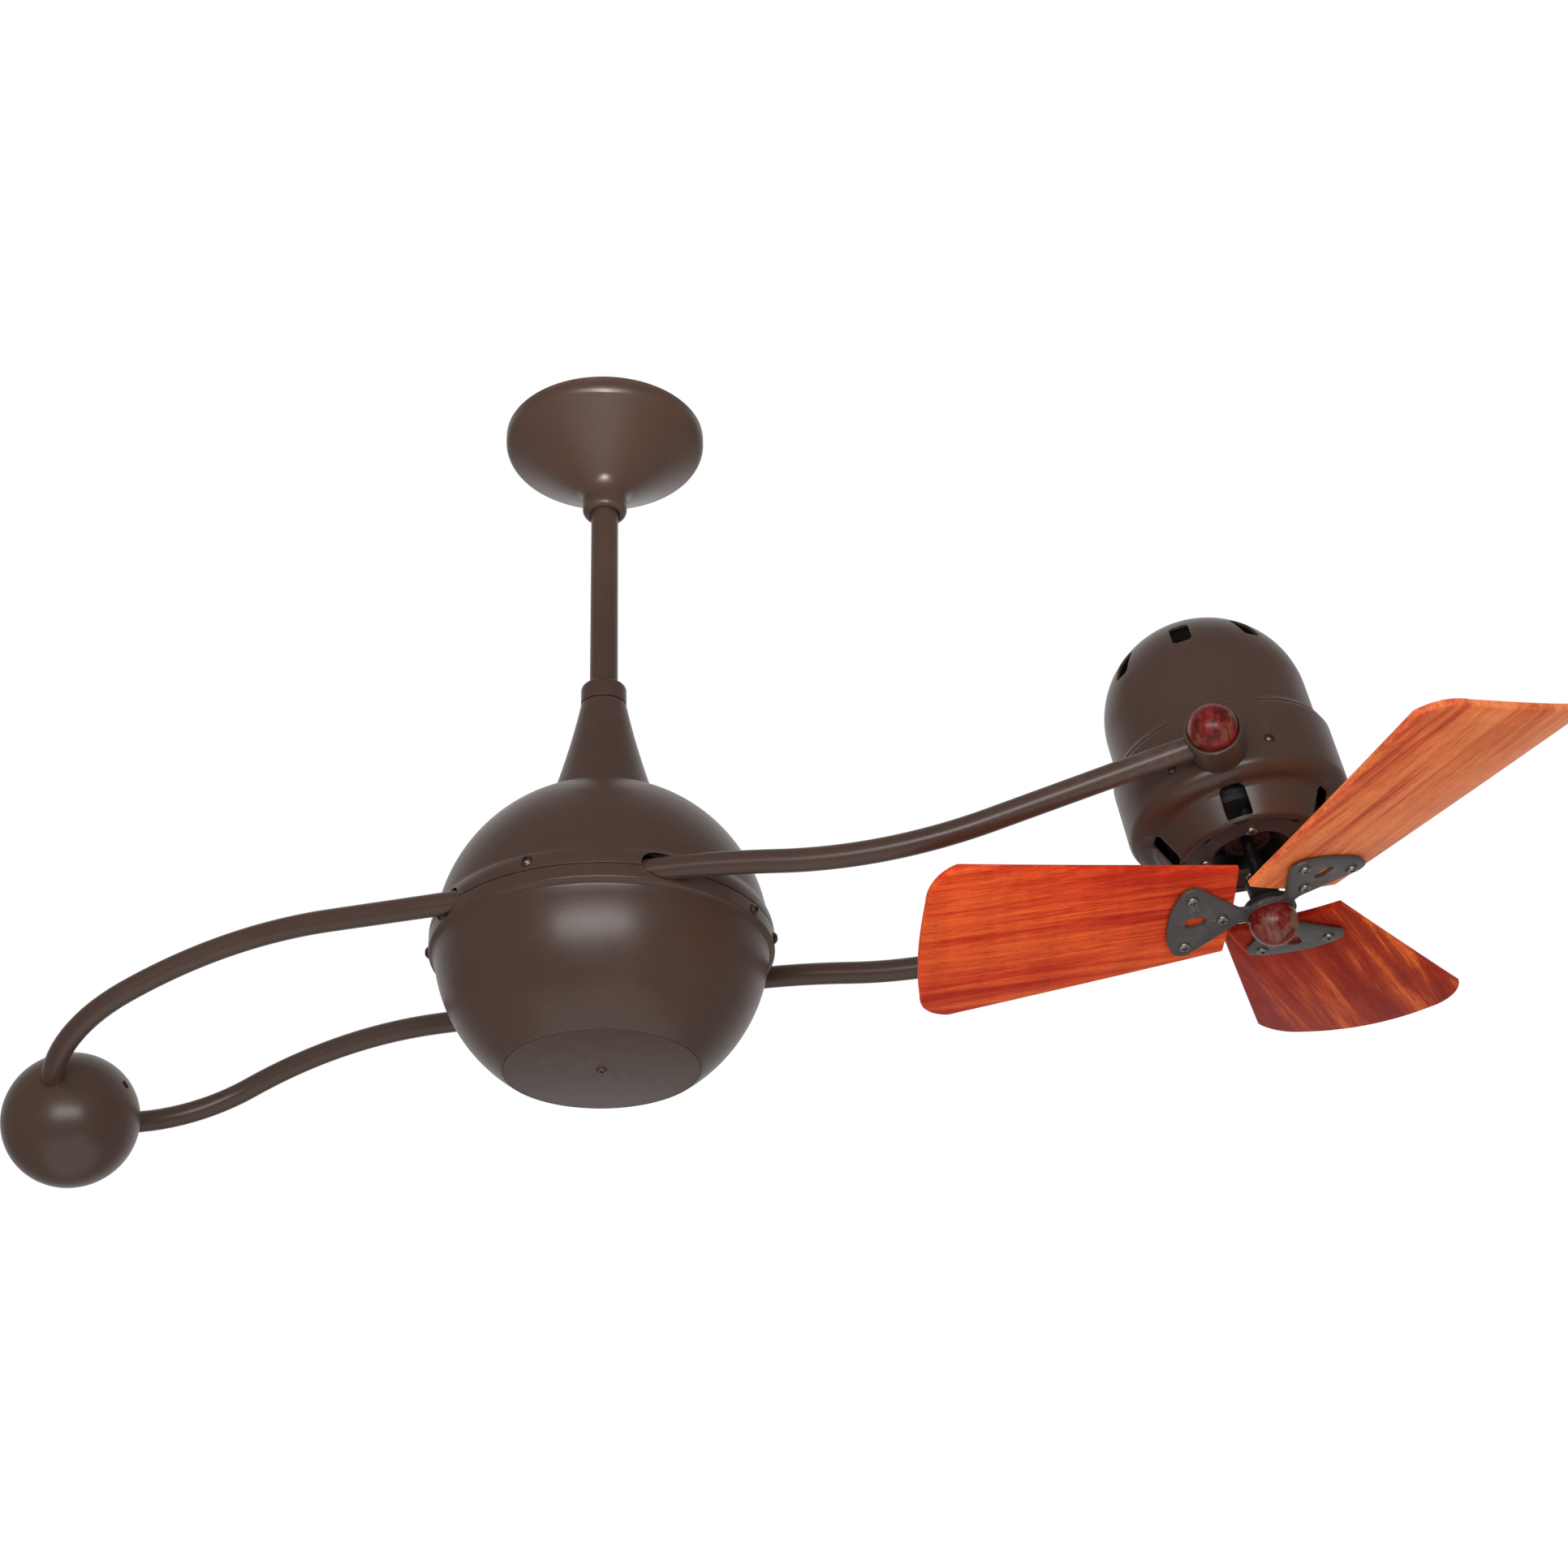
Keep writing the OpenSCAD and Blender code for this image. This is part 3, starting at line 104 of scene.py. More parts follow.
# Places that the frame gives: the tilt axis and the fan head's own frame
PIVOT = (406.0, 0.0, 23.599 - 407)
TILT = 8.5
HEAD = moved(*PIVOT) @ turned(-TILT, "Y")
BLADE_DEPTH = 75.4
BLADE_TURN = 198.9
PITCH = 10.3


def blade_frame(k):
    """Frame of blade k: +X out along the blade, z = 0 on its lower face."""
    return (HEAD @ moved(0, 0, -BLADE_DEPTH) @ turned(BLADE_TURN + 120 * k, "Z")
            @ turned(PITCH, "X"))


# ---------------------------------------------------------------- mesh helpers

def rounded(corners, steps=5, closed=True):
    """Outline in millimetres through (x, z, radius) corners, each rounded by its radius."""
    points = []
    count = len(corners)
    for i, (x, z, r) in enumerate(corners):
        here = Vector((x, z))
        if not r or (not closed and i in (0, count - 1)):
            points.append((x, z))
            continue
        a = (Vector(corners[i - 1][:2]) - here).normalized()
        b = (Vector(corners[(i + 1) % count][:2]) - here).normalized()
        half = a.angle(b) / 2
        centre = here + (a + b).normalized() * (r / math.sin(half))
        start = here + a * (r / math.tan(half)) - centre
        end = here + b * (r / math.tan(half)) - centre
        turn = math.atan2(start.x * end.y - start.y * end.x, start.dot(end))
        for k in range(steps + 1):
            c, s = math.cos(turn * k / steps), math.sin(turn * k / steps)
            points.append((centre.x + start.x * c - start.y * s,
                           centre.y + start.x * s + start.y * c))
    return points


def arc(cx, cz, r, a, b, steps=12):
    """Points of an arc in millimetres, from angle a to angle b in degrees."""
    return [(cx + r * math.cos(math.radians(a + (b - a) * i / steps)),
             cz + r * math.sin(math.radians(a + (b - a) * i / steps)))
            for i in range(steps + 1)]


def finished(name, shape, place, body, material, nodes=(), sharp=35):
    """Turns a bmesh in millimetres into a piece that rides on a body."""
    bmesh.ops.remove_doubles(shape, verts=shape.verts, dist=0.002)
    bmesh.ops.recalc_face_normals(shape, faces=shape.faces)
    mesh = bpy.data.meshes.new(name)
    shape.transform(Matrix.Diagonal((MM, MM, MM, 1)))
    local = [v.co.copy() for v in shape.verts]
    shape.transform(place)
    shape.to_mesh(mesh)
    shape.free()
    grain = mesh.attributes.new("grain", "FLOAT_VECTOR", "POINT")
    grain.data.foreach_set("vector", [c for v in local for c in v])
    piece = bpy.data.objects.new(name, mesh)
    bpy.context.scene.collection.objects.link(piece)
    mesh.materials.append(bpy.data.materials[material])
    mesh.shade_smooth()
    mesh.set_sharp_from_angle(angle=math.radians(sharp))
    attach(piece, body)
    if nodes:
        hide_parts(*nodes)
    return piece


def spun(outline, steps=128, shape=None, at=None):
    """Spins an outline in millimetres about Z. One that starts and ends on the axis stays open."""
    shape = shape or bmesh.new()
    verts = [shape.verts.new((x, 0, z)) for x, z in outline]
    pairs = list(zip(verts, verts[1:]))
    if outline[0][0] > 0.001 or outline[-1][0] > 0.001:
        pairs.append((verts[-1], verts[0]))
    edges = [shape.edges.new(pair) for pair in pairs]
    made = bmesh.ops.spin(
        shape, geom=verts + edges, cent=(0, 0, 0), axis=(0, 0, 1), dvec=(0, 0, 0),
        angle=2 * math.pi, steps=steps, use_merge=True, use_duplicate=False)
    bmesh.ops.remove_doubles(shape, verts=shape.verts, dist=0.002)
    if at is not None:
        bmesh.ops.transform(shape, matrix=at, verts=shape.verts)
    return shape


def plate(outline, low, high, soft=0.0, segments=3):
    """A flat plate from an outline in millimetres, with its edges rounded by soft."""
    shape = bmesh.new()
    face = shape.faces.new([shape.verts.new((x, y, low)) for x, y in outline])
    shape.faces.ensure_lookup_table()
    made = bmesh.ops.extrude_face_region(shape, geom=[face])["geom"]
    top = [v for v in made if isinstance(v, bmesh.types.BMVert)]
    bmesh.ops.translate(shape, verts=top, vec=(0, 0, high - low))
    bmesh.ops.recalc_face_normals(shape, faces=shape.faces)
    if soft:
        rims = [e for e in shape.edges
                if abs(e.verts[0].co.z - e.verts[1].co.z) < 0.001]
        bmesh.ops.bevel(shape, geom=rims, offset=soft, offset_type="OFFSET",
                        segments=segments, profile=0.5, affect="EDGES", material=-1)
    return shape


def joined(shapes):
    """Several bmeshes as one."""
    whole = bmesh.new()
    for shape in shapes:
        part = bpy.data.meshes.new("part")
        shape.to_mesh(part)
        shape.free()
        whole.from_mesh(part)
        bpy.data.meshes.remove(part)
    return whole


def placed(shape, matrix):
    """The bmesh, moved by a matrix whose lengths are in metres."""
    mm = matrix.copy()
    mm.translation = mm.translation / MM
    shape.transform(mm)
    return shape


def cut(shape, cutter):
    """Takes one bmesh away from another, whose own parts may cross."""
    objects = []
    for part in (shape, cutter):
        bmesh.ops.remove_doubles(part, verts=part.verts, dist=0.002)
        bmesh.ops.recalc_face_normals(part, faces=part.faces)
        mesh = bpy.data.meshes.new("cut")
        part.to_mesh(mesh)
        part.free()
        objects.append(bpy.data.objects.new("cut", mesh))
        bpy.context.scene.collection.objects.link(objects[-1])
    knife = objects[0].modifiers.new("cut", "BOOLEAN")
    knife.operation = "DIFFERENCE"
    knife.solver = "EXACT"
    knife.use_self = True
    knife.object = objects[1]
    made = bpy.data.meshes.new_from_object(
        objects[0].evaluated_get(bpy.context.evaluated_depsgraph_get()))
    result = bmesh.new()
    result.from_mesh(made)
    for thing in objects:
        mesh = thing.data
        bpy.data.objects.remove(thing)
        bpy.data.meshes.remove(mesh)
    bpy.data.meshes.remove(made)
    return result


def bar(r, l, steps=32):
    """A round bar along +Z from z = 0, in millimetres."""
    return spun([(0, 0), (r, 0), (r, l), (0, l)], steps)


def slot_bar(w, l, r, h, start=0.0):
    """A bar with a rounded slot's section, w wide in X and l long in Y, from z = start."""
    corner = [(w / 2, l / 2, r), (-w / 2, l / 2, r), (-w / 2, -l / 2, r), (w / 2, -l / 2, r)]
    return plate(rounded(corner, 6), start, start + h)


# ---------------------------------------------------------------- shader groups

def node_group(name, inputs, outputs):
    """An empty shader group with named inputs and outputs."""
    tree = bpy.data.node_groups.new(name, "ShaderNodeTree")
    for label, kind, value in inputs:
        made = tree.interface.new_socket(label, in_out="INPUT", socket_type=kind)
        if value is not None:
            made.default_value = value
    for label, kind in outputs:
        tree.interface.new_socket(label, in_out="OUTPUT", socket_type=kind)
    return tree, tree.nodes.new("NodeGroupInput"), tree.nodes.new("NodeGroupOutput")


def add(tree, kind, values=None, **settings):
    """A node with its settings and unlinked input values."""
    node = tree.nodes.new("ShaderNode" + kind)
    for key, value in settings.items():
        setattr(node, key, value)
    for key, value in (values or {}).items():
        node.inputs[key].default_value = value
    return node


def ramp(tree, stops, source, interpolation="LINEAR"):
    """A colour ramp over a value: stops of (position, colour)."""
    node = add(tree, "ValToRGB")
    node.color_ramp.interpolation = interpolation
    elements = node.color_ramp.elements
    while len(elements) < len(stops):
        elements.new(0.5)
    for element, (at, tone) in zip(elements, stops):
        element.position = at
        element.color = tone if len(tone) == 4 else (*tone, 1)
    tree.links.new(source, node.inputs[0])
    return node


def mixed(tree, kind, factor, a, b, blend="MIX"):
    """A Mix node; a factor, colour or value may be a socket or a constant."""
    node = add(tree, "Mix", data_type=kind)
    if kind == "RGBA":
        node.blend_type = blend
    base = {"FLOAT": 2, "VECTOR": 4, "RGBA": 6}[kind]
    for index, value in ((0, factor), (base, a), (base + 1, b)):
        if isinstance(value, bpy.types.NodeSocket):
            tree.links.new(value, node.inputs[index])
        else:
            node.inputs[index].default_value = value
    return node.outputs[{"FLOAT": 0, "VECTOR": 1, "RGBA": 2}[kind]]


def paint_group():
    """Orange peel, faint clouding and rubbed edges of a painted surface."""
    tree, inp, out = node_group(
        "Painted surface",
        [("Colour", "NodeSocketColor", (0.1, 0.1, 0.1, 1)),
         ("Edge colour", "NodeSocketColor", (0.3, 0.3, 0.3, 1)),
         ("Peel scale", "NodeSocketFloat", 900.0),
         ("Clouding", "NodeSocketFloat", 0.12),
         ("Edge wear", "NodeSocketFloat", 0.25),
         ("Roughness", "NodeSocketFloat", 0.4)],
        [("Colour", "NodeSocketColor"), ("Roughness", "NodeSocketFloat"),
         ("Height", "NodeSocketFloat")])
    link = tree.links.new
    spot = add(tree, "TexCoord").outputs["Object"]
    cloud = add(tree, "TexNoise", {"Scale": 14.0, "Detail": 4.0, "Roughness": 0.6})
    peel = add(tree, "TexNoise", {"Detail": 2.0, "Roughness": 0.5})
    fleck = add(tree, "TexNoise", {"Scale": 2600.0, "Detail": 1.0})
    for node in (cloud, peel, fleck):
        link(spot, node.inputs["Vector"])
    link(inp.outputs["Peel scale"], peel.inputs["Scale"])
    wide = add(tree, "MapRange", {"From Min": 0.3, "From Max": 0.7, "To Min": -1.0, "To Max": 1.0})
    link(cloud.outputs["Fac"], wide.inputs["Value"])
    depth = add(tree, "Math", operation="MULTIPLY")
    link(wide.outputs["Result"], depth.inputs[0])
    link(inp.outputs["Clouding"], depth.inputs[1])
    tone = add(tree, "HueSaturation", {"Saturation": 1.0})
    lift = add(tree, "Math", {1: 1.0}, operation="ADD")
    link(depth.outputs[0], lift.inputs[0])
    link(lift.outputs[0], tone.inputs["Value"])
    link(inp.outputs["Colour"], tone.inputs["Color"])
    # Painted glints: tiny neutral pale specks are added to the paint's colour to stand in for the
    # sparkle of its flakes.
    painted_flake_glints = ramp(tree, [(0.60, (0, 0, 0)), (0.78, (0.05, 0.045, 0.042))], fleck.outputs["Fac"])
    tone_with_painted_glints = mixed(tree, "RGBA", 1.0, tone.outputs["Color"], painted_flake_glints.outputs["Color"], "ADD")
    edge = add(tree, "NewGeometry")
    rim = add(tree, "MapRange", {"From Min": 0.53, "From Max": 0.60})
    link(edge.outputs["Pointiness"], rim.inputs["Value"])
    broken = add(tree, "TexNoise", {"Scale": 120.0, "Detail": 5.0, "Roughness": 0.7})
    link(spot, broken.inputs["Vector"])
    patch = add(tree, "MapRange", {"From Min": 0.42, "From Max": 0.62})
    link(broken.outputs["Fac"], patch.inputs["Value"])
    worn = add(tree, "Math", operation="MULTIPLY")
    link(rim.outputs["Result"], worn.inputs[0])
    link(patch.outputs["Result"], worn.inputs[1])
    amount = add(tree, "Math", operation="MULTIPLY", use_clamp=True)
    link(worn.outputs[0], amount.inputs[0])
    link(inp.outputs["Edge wear"], amount.inputs[1])
    link(mixed(tree, "RGBA", amount.outputs[0], tone_with_painted_glints, inp.outputs["Edge colour"]),
         out.inputs["Colour"])
    rough = add(tree, "Math", {1: 0.35}, operation="MULTIPLY")
    link(depth.outputs[0], rough.inputs[0])
    total = add(tree, "Math", operation="ADD", use_clamp=True)
    link(rough.outputs[0], total.inputs[0])
    link(inp.outputs["Roughness"], total.inputs[1])
    link(total.outputs[0], out.inputs["Roughness"])
    link(peel.outputs["Fac"], out.inputs["Height"])
    return tree


def metal_group():
    """Fine turning lines and blotches of bare or plated metal."""
    tree, inp, out = node_group(
        "Bare metal",
        [("Colour", "NodeSocketColor", (0.6, 0.6, 0.6, 1)),
         ("Roughness", "NodeSocketFloat", 0.35),
         ("Line scale", "NodeSocketFloat", 700.0)],
        [("Colour", "NodeSocketColor"), ("Roughness", "NodeSocketFloat"),
         ("Height", "NodeSocketFloat")])
    link = tree.links.new
    spot = add(tree, "TexCoord").outputs["Object"]
    blot = add(tree, "TexNoise", {"Scale": 160.0, "Detail": 4.0, "Roughness": 0.65})
    lines = add(tree, "TexNoise", {"Detail": 3.0, "Roughness": 0.6})
    flat = add(tree, "Mapping", {"Scale": (0.12, 0.12, 1.0)})
    link(spot, blot.inputs["Vector"])
    link(spot, flat.inputs["Vector"])
    link(flat.outputs["Vector"], lines.inputs["Vector"])
    link(inp.outputs["Line scale"], lines.inputs["Scale"])
    tone = ramp(tree, [(0.3, (0.62, 0.62, 0.62)), (0.7, (1.12, 1.1, 1.08))], blot.outputs["Fac"])
    link(mixed(tree, "RGBA", 1.0, inp.outputs["Colour"], tone.outputs["Color"], "MULTIPLY"),
         out.inputs["Colour"])
    spread = add(tree, "MapRange", {"From Min": 0.3, "From Max": 0.7, "To Min": -0.1, "To Max": 0.1})
    link(blot.outputs["Fac"], spread.inputs["Value"])
    total = add(tree, "Math", operation="ADD", use_clamp=True)
    link(spread.outputs["Result"], total.inputs[0])
    link(inp.outputs["Roughness"], total.inputs[1])
    link(total.outputs[0], out.inputs["Roughness"])
    link(lines.outputs["Fac"], out.inputs["Height"])
    return tree


def wood_group():
    """Long ribbon-striped grain along X of the piece's own grain coordinates."""
    tree, inp, out = node_group(
        "Striped hardwood",
        [("Dark", "NodeSocketColor", (0.2, 0.02, 0.005, 1)),
         ("Middle", "NodeSocketColor", (0.6, 0.1, 0.02, 1)),
         ("Light", "NodeSocketColor", (0.8, 0.3, 0.06, 1)),
         ("Offset", "NodeSocketVector", (0.0, 0.0, 0.0)),
         ("Depth of tone", "NodeSocketFloat", 0.0),
         ("Slope", "NodeSocketFloat", 0.0),
         ("Figure", "NodeSocketFloat", 0.35)],
        [("Colour", "NodeSocketColor"), ("Roughness", "NodeSocketFloat"),
         ("Height", "NodeSocketFloat")])
    link = tree.links.new
    spot = add(tree, "Attribute", attribute_name="grain").outputs["Vector"]
    place = add(tree, "VectorMath", operation="ADD")
    link(spot, place.inputs[0])
    link(inp.outputs["Offset"], place.inputs[1])
    here = place.outputs["Vector"]

    def noise(scale, stretch, detail=3.0, rough=0.6, distortion=0.0, turn=0.0):
        lay = add(tree, "Mapping", {"Scale": stretch, "Rotation": (0, 0, turn)})
        link(here, lay.inputs["Vector"])
        made = add(tree, "TexNoise", {"Scale": scale, "Detail": detail, "Roughness": rough,
                                      "Distortion": distortion})
        link(lay.outputs["Vector"], made.inputs["Vector"])
        return made.outputs["Fac"]

    broad = noise(46.0, (0.10, 1.0, 1.0), 2.0, 0.5, 0.35)
    stripe = noise(150.0, (0.05, 1.0, 1.0), 3.0, 0.62, 0.4)
    fibre = noise(900.0, (0.028, 1.0, 1.0), 3.0, 0.7)
    pore = noise(2100.0, (0.06, 1.0, 1.0), 1.0, 0.5)
    cross = noise(60.0, (1.0, 0.12, 1.0), 3.0, 0.6, 0.3, 0.25)
    tone_a = mixed(tree, "FLOAT", 0.5, broad, stripe)
    tone = mixed(tree, "FLOAT", 0.22, tone_a, fibre)
    across = add(tree, "SeparateXYZ")
    link(spot, across.inputs[0])
    tilt = add(tree, "Math", operation="MULTIPLY_ADD")
    link(across.outputs["Y"], tilt.inputs[0])
    link(inp.outputs["Slope"], tilt.inputs[1])
    link(inp.outputs["Depth of tone"], tilt.inputs[2])
    shift = add(tree, "Math", operation="SUBTRACT")
    link(tone, shift.inputs[0])
    link(tilt.outputs[0], shift.inputs[1])
    wide = add(tree, "MapRange", {"From Min": 0.40, "From Max": 0.60})
    link(shift.outputs[0], wide.inputs["Value"])
    low = add(tree, "MapRange", {"From Min": 0.0, "From Max": 0.5})
    high = add(tree, "MapRange", {"From Min": 0.45, "From Max": 1.0})
    for node in (low, high):
        link(wide.outputs["Result"], node.inputs["Value"])
    base = mixed(tree, "RGBA", low.outputs["Result"], inp.outputs["Dark"], inp.outputs["Middle"])
    ground = mixed(tree, "RGBA", high.outputs["Result"], base, inp.outputs["Light"])
    pores = ramp(tree, [(0.34, (0.45, 0.34, 0.30)), (0.46, (1, 1, 1))], pore)
    veined = mixed(tree, "RGBA", 0.55, ground, pores.outputs["Color"], "MULTIPLY")
    figure = ramp(tree, [(0.38, (0.62, 0.55, 0.52)), (0.62, (1.12, 1.1, 1.06))], cross)
    link(mixed(tree, "RGBA", inp.outputs["Figure"], veined, figure.outputs["Color"], "MULTIPLY"),
         out.inputs["Colour"])
    rough = add(tree, "MapRange", {"From Min": 0.3, "From Max": 0.7, "To Min": 0.34, "To Max": 0.46})
    link(fibre, rough.inputs["Value"])
    link(rough.outputs["Result"], out.inputs["Roughness"])
    link(mixed(tree, "FLOAT", 0.5, fibre, pore), out.inputs["Height"])
    return tree


def burl_group():
    """Swirled burl in deep red with tan patches and dark veins."""
    tree, inp, out = node_group(
        "Burl wood",
        [("Red", "NodeSocketColor", (0.2, 0.01, 0.01, 1)),
         ("Tan", "NodeSocketColor", (0.3, 0.15, 0.08, 1)),
         ("Offset", "NodeSocketVector", (0.0, 0.0, 0.0))],
        [("Colour", "NodeSocketColor"), ("Height", "NodeSocketFloat")])
    link = tree.links.new
    spot = add(tree, "Attribute", attribute_name="grain").outputs["Vector"]
    place = add(tree, "VectorMath", operation="ADD")
    link(spot, place.inputs[0])
    link(inp.outputs["Offset"], place.inputs[1])
    swirl = add(tree, "TexNoise", {"Scale": 110.0, "Detail": 5.0, "Roughness": 0.62,
                                   "Distortion": 1.6})
    veins = add(tree, "TexWave", {"Scale": 55.0, "Distortion": 9.0, "Detail": 4.0,
                                  "Detail Scale": 1.6}, wave_type="BANDS")
    patch = add(tree, "TexNoise", {"Scale": 75.0, "Detail": 3.0, "Roughness": 0.55,
                                   "Distortion": 0.8})
    for node in (swirl, veins, patch):
        link(place.outputs["Vector"], node.inputs["Vector"])
    dark = mixed(tree, "RGBA", 1.0, inp.outputs["Red"], (0.30, 0.22, 0.20, 1), "MULTIPLY")
    grain = ramp(tree, [(0.36, (0, 0, 0)), (0.62, (1, 1, 1))], swirl.outputs["Fac"])
    ground = mixed(tree, "RGBA", grain.outputs["Color"], dark, inp.outputs["Red"])
    tan = ramp(tree, [(0.52, (0, 0, 0)), (0.62, (1, 1, 1))], patch.outputs["Fac"])
    blotched = mixed(tree, "RGBA", tan.outputs["Color"], ground, inp.outputs["Tan"])
    line = ramp(tree, [(0.0, (0.35, 0.30, 0.28)), (0.30, (1, 1, 1))], veins.outputs["Fac"])
    link(mixed(tree, "RGBA", 0.6, blotched, line.outputs["Color"], "MULTIPLY"),
         out.inputs["Colour"])
    link(swirl.outputs["Fac"], out.inputs["Height"])
    return tree


GROUPS = {}


def material(name, group, values, height=0.0, rough_from_group=True, **shader):
    """A material from one of the shared groups: values feed the group, shader the shader."""
    made = bpy.data.materials.new(name)
    made.use_nodes = True
    tree = made.node_tree
    bsdf = tree.nodes["Principled BSDF"]
    node = add(tree, "Group", node_tree=GROUPS[group])
    for key, value in values.items():
        node.inputs[key].default_value = value
    for key, value in shader.items():
        bsdf.inputs[key.replace("_", " ")].default_value = value
    link = tree.links.new
    link(node.outputs["Colour"], bsdf.inputs["Base Color"])
    if rough_from_group:
        link(node.outputs["Roughness"], bsdf.inputs["Roughness"])
    bump = add(tree, "Bump", {"Strength": 1.0, "Distance": height})
    link(node.outputs["Height"], bump.inputs["Height"])
    link(bump.outputs["Normal"], bsdf.inputs["Normal"])
    made.diffuse_color = (*values.get("Colour", values.get("Middle", (0.4, 0.1, 0.05)))[:3], 1)
    return made


def make_materials(tones):
    """Every finish of the fan, by name."""
    GROUPS.update(paint=paint_group(), metal=metal_group(), wood=wood_group(), burl=burl_group())

    def paint(name, tone, edge, rough, wear=0.25, peel=900.0, cloud=0.10, height=0.00003, **more):
        return material(name, "paint", {
            "Colour": (*tone, 1), "Edge colour": (*edge, 1), "Peel scale": peel,
            "Clouding": cloud, "Edge wear": wear, "Roughness": rough}, height, **more)

    def metal(name, tone, rough, lines=700.0, height=0.00002, **more):
        return material(name, "metal", {
            "Colour": (*tone, 1), "Roughness": rough, "Line scale": lines}, height,
            Metallic=1.0, **more)

    paint("bronze_paint", tones.bronze, (0.26, 0.19, 0.16), 0.33, Specular_IOR_Level=0.6)
    paint("iron_paint", tones.iron, (0.30, 0.27, 0.26), 0.42, 0.35, 1200.0, 0.14)
    paint("motor_black", tones.black, (0.10, 0.10, 0.10), 0.36, 0.3)
    paint("plate_grey", tones.grey, (0.35, 0.32, 0.30), 0.40, 0.35)
    paint("washer_black", (0.008, 0.008, 0.008), (0.06, 0.06, 0.06), 0.5, 0.2, 1500.0)
    paint("moulded_black", (0.012, 0.012, 0.012), (0.05, 0.05, 0.05), 0.55, 0.2, 1600.0)
    paint("moulded_nylon", (0.66, 0.62, 0.50), (0.8, 0.78, 0.7), 0.5, 0.1, 1400.0, 0.05)
    metal("screw_metal", tones.fastener, 0.30, 1500.0)
    metal("bronze_screw", tones.bronze_screw, 0.32, 1500.0)
    metal("turned_steel", (0.52, 0.51, 0.50), 0.26)
    metal("zinc_steel", (0.55, 0.55, 0.52), 0.38, 300.0)
    metal("cast_alloy", (0.56, 0.56, 0.57), 0.46, 500.0, 0.00004)
    metal("gear_brass", (0.62, 0.42, 0.15), 0.30)
    metal("copper_wire", (0.60, 0.23, 0.09), 0.34, 2400.0, 0.00006)
    # Painted shade: the stator, rotor and windings are near black, and the motor's shaft, bolts and
    # bearings are dark. These stand in for the shade inside the closed motor, not for their own
    # metal colours.
    metal("laminations_painted_shade_black", (0.03, 0.03, 0.032), 0.6, 2200.0, 0.00006)
    metal("motor_steel_painted_shade_dark", (0.10, 0.10, 0.10), 0.35)
    paint("windings_painted_shade_black", (0.010, 0.005, 0.003), (0.04, 0.02, 0.01), 0.6, 0.2, 2400.0,
          Specular_IOR_Level=0.2)
    boards = (                          # offset, tints of the streaks, depth, slope, figure
        ((0.31, 0.12, 0.0), (1.0, 1.0, 1.0), (1.0, 1.0, 1.0), 0.0, 0.0, 0.25),
        ((1.43, 0.55, 0.2), (1.12, 2.8, 3.4), (1.08, 1.9, 3.1), -0.01, -0.9, 0.20),
        ((2.71, 0.93, 0.4), (0.58, 0.48, 0.35), (0.92, 0.95, 0.70), 0.02, 0.3, 0.20))
    for k, (offset, deep_tint, light_tint, deep, slope, figure) in enumerate(boards):
        values = {key: (*(min(1, a * b) for a, b in zip(tone, tint)), 1) for key, tone, tint in (
            ("Dark", tones.wood_dark, deep_tint), ("Middle", tones.wood_mid, deep_tint),
            ("Light", tones.wood_light, light_tint))}
        material(f"blade_wood_{k + 1}", "wood", {
            **values, "Offset": offset, "Depth of tone": deep, "Slope": slope,
            "Figure": figure}, 0.00004, Specular_IOR_Level=0.05)
    burl = {"Red": (*tones.burl_red, 1), "Tan": (*tones.burl_tan, 1)}
    for name, offset in (("burl_front", (0.02, 0.31, 0.11)), ("burl_finial", (0.43, 0.17, 0.29))):
        material(name, "burl", {**burl, "Offset": offset}, 0.00002, rough_from_group=False,
                 Roughness=0.34, Coat_Weight=0.18, Coat_Roughness=0.16,
                 Specular_IOR_Level=0.3)


# ---------------------------------------------------------------- ceiling fixture and rod

def dress(nodes, name):
    """Gives CAD nodes that stay as they are one of the materials."""
    for node in nodes:
        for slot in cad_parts[node].material_slots:
            slot.material = bpy.data.materials[name]


def make_canopy(sizes):
    """Spun dish with a short lip, a straight cone and a hollow neck."""
    r = sizes.canopy_r / MM
    slope = -54.8
    outer = [(r, 0)] + arc(r - 9, -5, 9, 0, slope) + arc(29.65, -56, 14, slope + 180, 180)
    wall = arc(29.65, -56, 15.2, 180, slope + 180) + arc(r - 9, -5, 7.8, slope, 0)
    lip = [(r - 1.2, 0)]
    finished("canopy_dish", spun(outer + wall + lip, 192), Matrix(), "ceiling",
             "bronze_paint", ["canopy"])
    nut = rounded([(14.4, -56.1, 0), (15.6, -56.1, 0.3), (15.6, -67.5, 4.2), (12.0, -67.5, 0.5),
                   (12.0, -65.0, 0), (14.4, -62.6, 0)], 6)
    finished("canopy_ring", spun(nut, 96), Matrix(), "ceiling", "bronze_paint",
             ["ring_nut"])


def make_rod(sizes):
    """Downrod with its two cross holes, and the collar that sits above the cone."""
    r = sizes.rod_r / MM
    tube = [(r, -351 + 334 * i / 60) for i in range(61)] + [(r - 1.6, -17), (r - 1.6, -351)]
    cross = [placed(bar(4.05, 40, 32), moved(-20, 0, -28) @ turned(90, "Y")),
             placed(bar(2.6, 40, 32), moved(0, -20, -336) @ turned(-90, "X"))]
    finished("downrod_tube", cut(spun(tube, 96), joined(cross)), Matrix(), "drop",
             "bronze_paint", ["downrod"])
    collar = rounded([(r + 0.1, 179.4, 0), (15.4, 179.4, 0.5), (15.4, 193.9, 3.2),
                      (r + 0.1, 193.9, 0.5)], 7)
    ring = cut(spun(collar, 96), placed(bar(2.1, 12, 24), moved(0, r - 1, 185.9)
                                        @ turned(-90, "X")))
    finished("rod_collar_ring", ring, SEAM, "drop", "bronze_paint", ["rod_collar"])
    dress(["collar_screw"], "turned_steel")


# ---------------------------------------------------------------- round body

